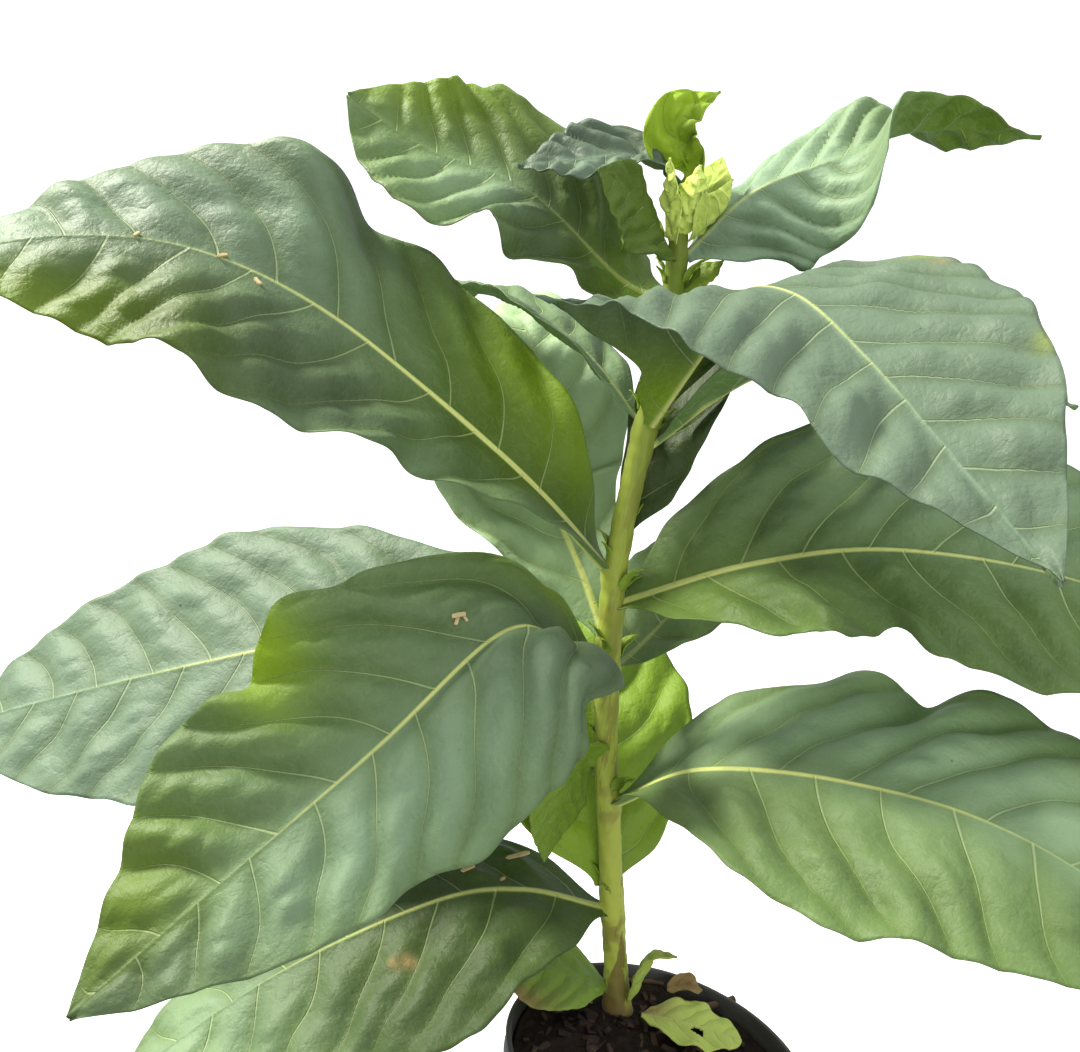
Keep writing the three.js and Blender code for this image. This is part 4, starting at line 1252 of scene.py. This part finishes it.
stem_finish = Finish(
    "stem_skin", Specular_IOR_Level=0.4, Sheen_Weight=0.3, Sheen_Roughness=0.4,
    Sheen_Tint=(0.9, 1.0, 0.75, 1.0),
)
place = stem_finish.place()
_, _, up = stem_finish.split(place)
low = up.below(0.25, 0.12)
high = 1 - up.below(0.42, 0.14)
foot = up.below(0.1335, 0.008)
streaks = stem_finish.cloud(stem_finish.stretched(place, STREAKS), 1.0, 4.0)
patches = stem_finish.cloud(place, 42.0, 3.0)
rubbed = stem_finish.cloud(stem_finish.stretched(place, RUBBED), 1.0, 5.0, 0.7)
scars = patches.below(0.36, 0.06) * (0.15 + low * 0.5)
scars = (scars + rubbed.below(0.47, 0.04) * (0.35 + low * 0.6)).clamp()

skin = stem_finish.blend(streaks, STEM_GREEN, STEM_PALE)
skin = stem_finish.blend(high * 0.75, skin, STEM_TOP_GREEN)
skin = stem_finish.blend(low * 0.75, skin, STEM_PALE)
skin = stem_finish.blend(scars * 0.85, skin, STEM_BROWN)
stem_finish.colour(stem_finish.blend(foot * 0.9, skin, STEM_BROWN))
stem_finish.roughness(0.42 + patches * 0.25)
hairs = stem_finish.cloud(place, 900.0, 3.0, 0.7)
stem_finish.relief(streaks * 0.7 + hairs * 0.3, 0.8 * MM, 0.6)
stem.data.materials.append(stem_finish.material)
print("stem:", len(stem.data.polygons), "faces")

# %% [markdown]
# The pot is thin black plastic, moulded in one piece: a tapering wall, a stiff stepped band round
# the mouth and a flat floor. Its section is one closed outline, which the spin operator carries
# round the axis, so that wall, band and floor are one shell as in the mould.

# %% The pot
POT_STEPS = 160
band_bottom = POT_HEIGHT - LIP_HEIGHT


def wall_radius(height):
    share = height / band_bottom
    return POT_FOOT_RADIUS + (POT_RIM_RADIUS - LIP_STEP - POT_FOOT_RADIUS) * share


def spun(name, profile, steps):
    """A closed outline of radius and height, spun round the upright axis into one shell."""
    bpy.ops.object.select_all(action="DESELECT")
    bpy.ops.mesh.primitive_circle_add(vertices=len(profile), radius=1)
    piece = bpy.context.object
    piece.name = piece.data.name = name
    write_points(piece, np.array([(radius, 0, height) for radius, height in profile]))
    bpy.ops.object.mode_set(mode="EDIT")
    bpy.ops.mesh.select_all(action="SELECT")
    bpy.ops.mesh.spin(
        steps=steps, angle=2 * math.pi, center=(0, 0, 0), axis=(0, 0, 1), use_auto_merge=True
    )
    bpy.ops.mesh.select_all(action="SELECT")
    bpy.ops.mesh.remove_doubles(threshold=0.00001)
    bpy.ops.mesh.normals_make_consistent(inside=False)
    bpy.ops.object.mode_set(mode="OBJECT")
    return piece


def section(radius, height, offsets):
    """Points of a section, each so many millimetres out from a radius and up from a height."""
    return [(radius + out * MM, height + up * MM) for out, up in offsets]


pot_profile = [
    (0, 0.6 * MM),
    *section(POT_FOOT_RADIUS, 0, [(-8, 0.6), (-6.5, 0), (-2, 0), (-0.5, 0.5), (0, 2)]),
    (wall_radius(30 * MM), 30 * MM), (wall_radius(70 * MM), 70 * MM),
    *section(wall_radius(band_bottom - 14 * MM), band_bottom, [(0, -14), (0.9, -12.8)]),
    *section(wall_radius(band_bottom - 6 * MM), band_bottom, [(0.5, -6)]),
    (wall_radius(band_bottom), band_bottom - 0.4 * MM),
    *section(POT_RIM_RADIUS, band_bottom, [(-1.1, 0), (-0.8, 0.5)]),
    *section(POT_RIM_RADIUS, POT_HEIGHT, [
        (-0.8, -3.2), (-0.2, -2.4), (0, -1.4), (-0.4, -0.3), (-1.3, 0), (-2.5, -0.3), (-3, -1.6),
    ]),
    (wall_radius(band_bottom) - POT_WALL, band_bottom - 1 * MM),
    (wall_radius(2.6 * MM) - POT_WALL, 2.6 * MM), (0, 2.6 * MM),
]
pot = spun("pot_shell", pot_profile, POT_STEPS)
print("pot's section:", len(pot_profile), "points")

# %% [markdown]
# Water leaves a nursery pot through slots round the corner of its floor. Each is the cut of a short
# tilted cylinder. A Boolean modifier takes it out, and the cylinder itself is deleted after.

# %% The drain holes
DRAIN_HOLES = 8
DRAIN_RADIUS = 5 * MM
DRILL_LENGTH = 24 * MM
DRILL_TILT = math.radians(40)
DRILL_HEIGHT = 2 * MM
for k in range(DRAIN_HOLES):
    turn = 2 * math.pi * (k + 0.5) / DRAIN_HOLES
    bpy.ops.object.select_all(action="DESELECT")
    bpy.ops.mesh.primitive_cylinder_add(
        vertices=32, radius=DRAIN_RADIUS, depth=DRILL_LENGTH, rotation=(0, DRILL_TILT, turn),
        location=(POT_FOOT_RADIUS * math.cos(turn), POT_FOOT_RADIUS * math.sin(turn), DRILL_HEIGHT),
    )
    drill = bpy.context.object
    cut = pot.modifiers.new("drain", "BOOLEAN")
    cut.operation = "DIFFERENCE"
    cut.solver = "EXACT"
    cut.object = drill
    bpy.context.view_layer.objects.active = pot
    bpy.ops.object.modifier_apply(modifier="drain")
    bpy.data.objects.remove(drill)
bpy.ops.object.select_all(action="DESELECT")
pot.select_set(True)
bpy.context.view_layer.objects.active = pot
bpy.ops.object.shade_smooth_by_angle(angle=math.radians(35))
print("pot:", len(pot.data.polygons), "faces")

# %% [markdown]
# The plastic is black but never clean: it is scuffed all over, and dusted with dry soil near the rim
# and at the foot, where it splashes and settles. The scuffs' pale grey is partly painted reflection,
# standing in for the light that the plastic catches. Scuffs are duller as well as paler, so the same
# noise feeds the colour and the roughness.

# %% The pot's finish
POT_BLACK = screen_colour(46, 47, 47)
POT_SCUFF_AND_REFLECTION = screen_colour(120, 121, 115)
POT_DUST = screen_colour(96, 84, 68)

pot_finish = Finish("pot_plastic", Specular_IOR_Level=0.5)
place = pot_finish.place()
scuff_and_reflection = pot_finish.cloud(pot_finish.stretched(place, (1.0, 1.0, 5.0)), 60.0, 5.0, 0.7)
dust = pot_finish.cloud(place, 18.0, 4.0)
_, _, up = pot_finish.split(place)
# The scuff colour is partly painted reflection, standing in for the light that the plastic catches.
black = pot_finish.blend(scuff_and_reflection * scuff_and_reflection * 0.5, POT_BLACK, POT_SCUFF_AND_REFLECTION)
near_ends = (1 - up.below(0.118, 0.02)) * 0.25 + up.below(0.012, 0.02) * 0.5
pot_finish.colour(pot_finish.blend((dust * near_ends).clamp(), black, POT_DUST))
pot_finish.roughness(0.34 + scuff_and_reflection * 0.25)
pot_finish.relief(pot_finish.cloud(place, 700.0, 2.0), 0.2 * MM, 0.3)
pot.data.materials.append(pot_finish.material)

# %% [markdown]
# The mix is dark, damp peat full of bark. Its solid fills the pot, so it is spun from a section too,
# with close rings on top, and the top's points are pushed up and down by a fractal noise.

# %% The potting mix
MIX_RINGS = 90
MIX_STEPS = 220
MIX_GAP = 0.3 * MM
MIX_SWELL = 1.0 * MM
CRUMB_RISE = 1.5 * MM
CRUMBS_PER_METRE = 260
STEM_FOOT = STEM[0][:2]


def inside_wall(height):
    return wall_radius(height) - POT_WALL - MIX_GAP


mix_radius = inside_wall(MIX_TOP * 0.96)
mix_profile = [(mix_radius * k / MIX_RINGS, MIX_TOP) for k in range(MIX_RINGS + 1)]
mix_profile += [(inside_wall(60 * MM), 60 * MM), (inside_wall(3 * MM), 3 * MM), (0, 3 * MM)]
mix = spun("potting_mix_surface", mix_profile, MIX_STEPS)
points = read_points(mix)


def mix_height(x, y):
    """The level of the mix: the solid's broad swells, which leave the stem's foot level."""
    x_mm, y_mm = x / MM, y / MM
    away = soft_step(np.hypot(x_mm - STEM_FOOT[0], y_mm - STEM_FOOT[1]), 9, 22)
    swell = np.sin(x_mm * 0.13 + 1.1) * np.cos(y_mm * 0.11) + 0.6 * np.sin(x_mm * 0.21 - y_mm * 0.17)
    return MIX_TOP + away * MIX_SWELL * swell


top = points[:, 2] > 110 * MM
x, y = points[top, 0], points[top, 1]
bumps = np.array([
    noise.fractal(Vector((*place, 0.3)), 0.8, 2.2, 4) for place in points[top, :2] * CRUMBS_PER_METRE
])
inside = 1 - soft_step(np.hypot(x, y), mix_radius - 2 * MM, mix_radius)
points[top, 2] = mix_height(x, y) + CRUMB_RISE * bumps * inside
write_points(mix, points)
bpy.ops.object.shade_smooth()
print("potting mix:", len(mix.data.polygons), "faces")

# %% [markdown]
# Damp peat is almost black, with browner lumps and a fine grit that only the light picks out. Two
# noises of different scales give both, in colour, dullness and relief.

# %% The mix's finish
PEAT_DARK = screen_colour(26, 20, 16)
PEAT_BROWN = screen_colour(62, 46, 34)

mix_finish = Finish("potting_mix_peat", Specular_IOR_Level=0.3)
place = mix_finish.place()
lumps = mix_finish.cloud(place, 240.0, 6.0, 0.7)
grit = mix_finish.cloud(place, 1300.0, 4.0, 0.75)
mix_finish.colour(mix_finish.blend((lumps * 1.5 - 0.4).clamp(), PEAT_DARK, PEAT_BROWN))
mix_finish.roughness(0.75 + grit * 0.2)
mix_finish.relief(lumps * 0.6 + grit * 0.4, 1.6 * MM, 1.0)
mix.data.materials.append(mix_finish.material)

# %% [markdown]
# Bark chips lie all over the mix. One chip is modelled, a cube that is divided, softened and
# roughened, and each copy has its own mesh, size and turn before all are joined into one piece. The
# random numbers come from a seeded source, so every run lays the same chips.

# %% Bark chips on the mix
CHIP_COUNT = 230
CHIP_MARGIN = 5 * MM
STEM_ROOM = 11 * MM
CHIP_SMOOTHING = math.radians(40)
random = np.random.default_rng(7)


def placed_copy(pattern, transform):
    """A copy with its own mesh, moved in its mesh so that its object stays at the origin."""
    copy = pattern.copy()
    copy.data = pattern.data.copy()
    bpy.context.collection.objects.link(copy)
    copy.data.transform(transform)
    return copy


def divided(cuts):
    """Divides the active piece's edges."""
    bpy.ops.object.mode_set(mode="EDIT")
    bpy.ops.mesh.select_all(action="SELECT")
    bpy.ops.mesh.subdivide(number_cuts=cuts)


bpy.ops.object.select_all(action="DESELECT")
bpy.ops.mesh.primitive_cube_add(size=1)
chip = bpy.context.object
divided(2)
bpy.ops.mesh.vertices_smooth(factor=0.4)
bpy.ops.object.mode_set(mode="OBJECT")
rough = read_points(chip)
write_points(chip, rough + random.uniform(-0.07, 0.07, rough.shape))
chips = []
for _ in range(CHIP_COUNT):
    angle = random.uniform(0, 2 * math.pi)
    away = (mix_radius - CHIP_MARGIN) * math.sqrt(random.uniform(0, 1))
    x, y = away * math.cos(angle), away * math.sin(angle)
    if math.hypot(x - stem_table[0, 0], y - stem_table[0, 1]) < STEM_ROOM:
        continue
    long = random.uniform(2.5, 9) * MM
    scale = Matrix.Diagonal((long, long * random.uniform(0.2, 0.5), random.uniform(0.8, 2) * MM, 1))
    tilt = Matrix.Rotation(random.uniform(-0.35, 0.35), 4, "Y")
    tilt = tilt @ Matrix.Rotation(random.uniform(-0.4, 0.4), 4, "X")
    spin = Matrix.Rotation(random.uniform(0, 2 * math.pi), 4, "Z")
    level = float(mix_height(x, y)) + 0.6 * MM
    chips.append(placed_copy(chip, Matrix.Translation((x, y, level)) @ spin @ tilt @ scale))
bark = joined("bark_chips", chips)
bpy.ops.object.shade_smooth_by_angle(angle=CHIP_SMOOTHING)
print("bark chips:", len(chips))

# %% [markdown]
# Potting the plant left a few dry crumbs on its lower leaves. They are copies of the same chip. The
# class that bends a blade also tells where a single place of it ends up and which way is up there,
# so each crumb lies flat on its leaf.

# %% Dry crumbs on the leaves
# A leaf, the place along it and across it, the crumb's length in millimetres and its turn.
CRUMBS = [
    ("leaf_front", 0.27, 0.36, 6, 0.3), ("leaf_front", 0.275, 0.33, 4, 1.4),
    ("leaf_front", 0.265, 0.31, 3, 2.2), ("leaf_left_low", 0.17, 0.55, 14, 0.1),
    ("leaf_left_low", 0.27, 0.25, 7, 1.2), ("leaf_left_low", 0.21, 0.15, 3, 0.7),
    ("leaf_left_long", 0.62, 0.02, 4, 0.5), ("leaf_left_long", 0.57, -0.08, 4, 2.0),
    ("leaf_left_long", 0.72, 0.03, 3, 1.1),
]
CRUMB_THICKNESS = 1.2 * MM
crumbs = []
for name, along, across, long, turn in CRUMBS:
    blade = Blade(name, LEAVES[name], LOOKS[name], np.array([along]), np.array([across]))
    upright = Vector(blade.normals[0]).to_track_quat("Z", "Y").to_matrix().to_4x4()
    spot = Matrix.Translation(blade.points[0] + blade.normals[0] * 0.7 * MM)
    size = Matrix.Diagonal((long * MM, min(long * 0.4, 2) * MM, CRUMB_THICKNESS, 1))
    crumbs.append(placed_copy(chip, spot @ upright @ Matrix.Rotation(turn, 4, "Z") @ size))
litter = joined("crumbs_on_leaves", crumbs)
bpy.ops.object.shade_smooth_by_angle(angle=CHIP_SMOOTHING)
bpy.data.objects.remove(chip)
print("crumbs on leaves:", len(crumbs))

# %% [markdown]
# A few twigs lie on the mix too. Each is a cylinder, divided along its length so that it can be
# bent and made uneven, and then laid from one end point to the other.

# %% Twigs on the mix
# Both ends on the mix, and the radius, in millimetres.
TWIGS = [
    ((24, 52), (45, 66), 1.9), ((4, 30), (24, 20), 1.3), ((-40, -10), (-22, -26), 1.5),
    ((20, -38), (44, -30), 1.6), ((-14, 66), (8, 68), 1.2), ((-2, -8), (18, -4), 1.1),
]
TWIG_BEND = 0.6 * MM
twigs = []
for (x0, y0), (x1, y1), radius in TWIGS:
    start, end = Vector((x0, y0, 0)) * MM, Vector((x1, y1, 0)) * MM
    run = end - start
    bpy.ops.object.select_all(action="DESELECT")
    bpy.ops.mesh.primitive_cylinder_add(vertices=12, radius=radius * MM, depth=run.length)
    twig = bpy.context.object
    divided(5)
    bpy.ops.object.mode_set(mode="OBJECT")
    bent = read_points(twig)
    share = bent[:, 2] / run.length
    bent[:, 0] += TWIG_BEND * np.sin(share * 5)
    bent[:, :2] *= (1 + 0.2 * np.sin(share * 17 + x0))[:, None]
    write_points(twig, bent)
    middle = (start + end) / 2 + Vector((0, 0, MIX_TOP + (radius + 0.6) * MM))
    turned = run.to_track_quat("Z", "Y").to_matrix().to_4x4()
    twig.data.transform(Matrix.Translation(middle) @ turned)
    twigs.append(twig)
sticks = joined("twigs_on_mix", twigs)
bpy.ops.object.shade_smooth_by_angle(angle=math.radians(50))
print("twigs:", len(twigs))

# %% [markdown]
# Bark, twigs and crumbs are all dry wood: mottled from piece to piece, and grained. One function
# makes the three finishes, each from a dark and a light colour.

# %% The finish of dry wood
BARK_DARK = screen_colour(40, 32, 26)
BARK_RED = screen_colour(92, 74, 60)
TWIG_GREY = screen_colour(122, 98, 78)
CRUMB_PALE = screen_colour(232, 214, 170)


def bark_finish(name, dark, light):
    finish = Finish(name, Specular_IOR_Level=0.3)
    place = finish.place()
    grain = finish.cloud(finish.stretched(place, (1.0, 3.0, 1.0)), 420.0, 5.0, 0.65)
    mottled = finish.cloud(place, 75.0, 1.0)
    finish.colour(finish.blend((mottled * 2.2 - 0.7 + grain * 0.3).clamp(), dark, light))
    finish.roughness(0.7 + grain * 0.25)
    finish.relief(grain, 0.9 * MM, 0.9)
    return finish.material


bark.data.materials.append(bark_finish("bark", BARK_DARK, BARK_RED))
sticks.data.materials.append(bark_finish("dry_twig", BARK_RED, TWIG_GREY))
litter.data.materials.append(bark_finish("dry_crumb", DRY_TAN, CRUMB_PALE))

# %% [markdown]
# Last, every piece is tied to the frame: it rides on the one body of a plant in a pot, and replaces
# the plain solid it stands for.

# %% Riding and replacing
for name, piece in leaf_pieces.items():
    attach(piece, "root")
    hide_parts(name)
for piece, node in ((stem, "stem"), (pot, "pot"), (mix, "potting_mix")):
    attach(piece, "root")
    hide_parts(node)
for piece, node in (
    (bark, "potting_mix"), (sticks, "potting_mix"), (litter, "dead_leaf_left"),
    (shoots, "bud_leaf_left"),
):
    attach(piece, "root")
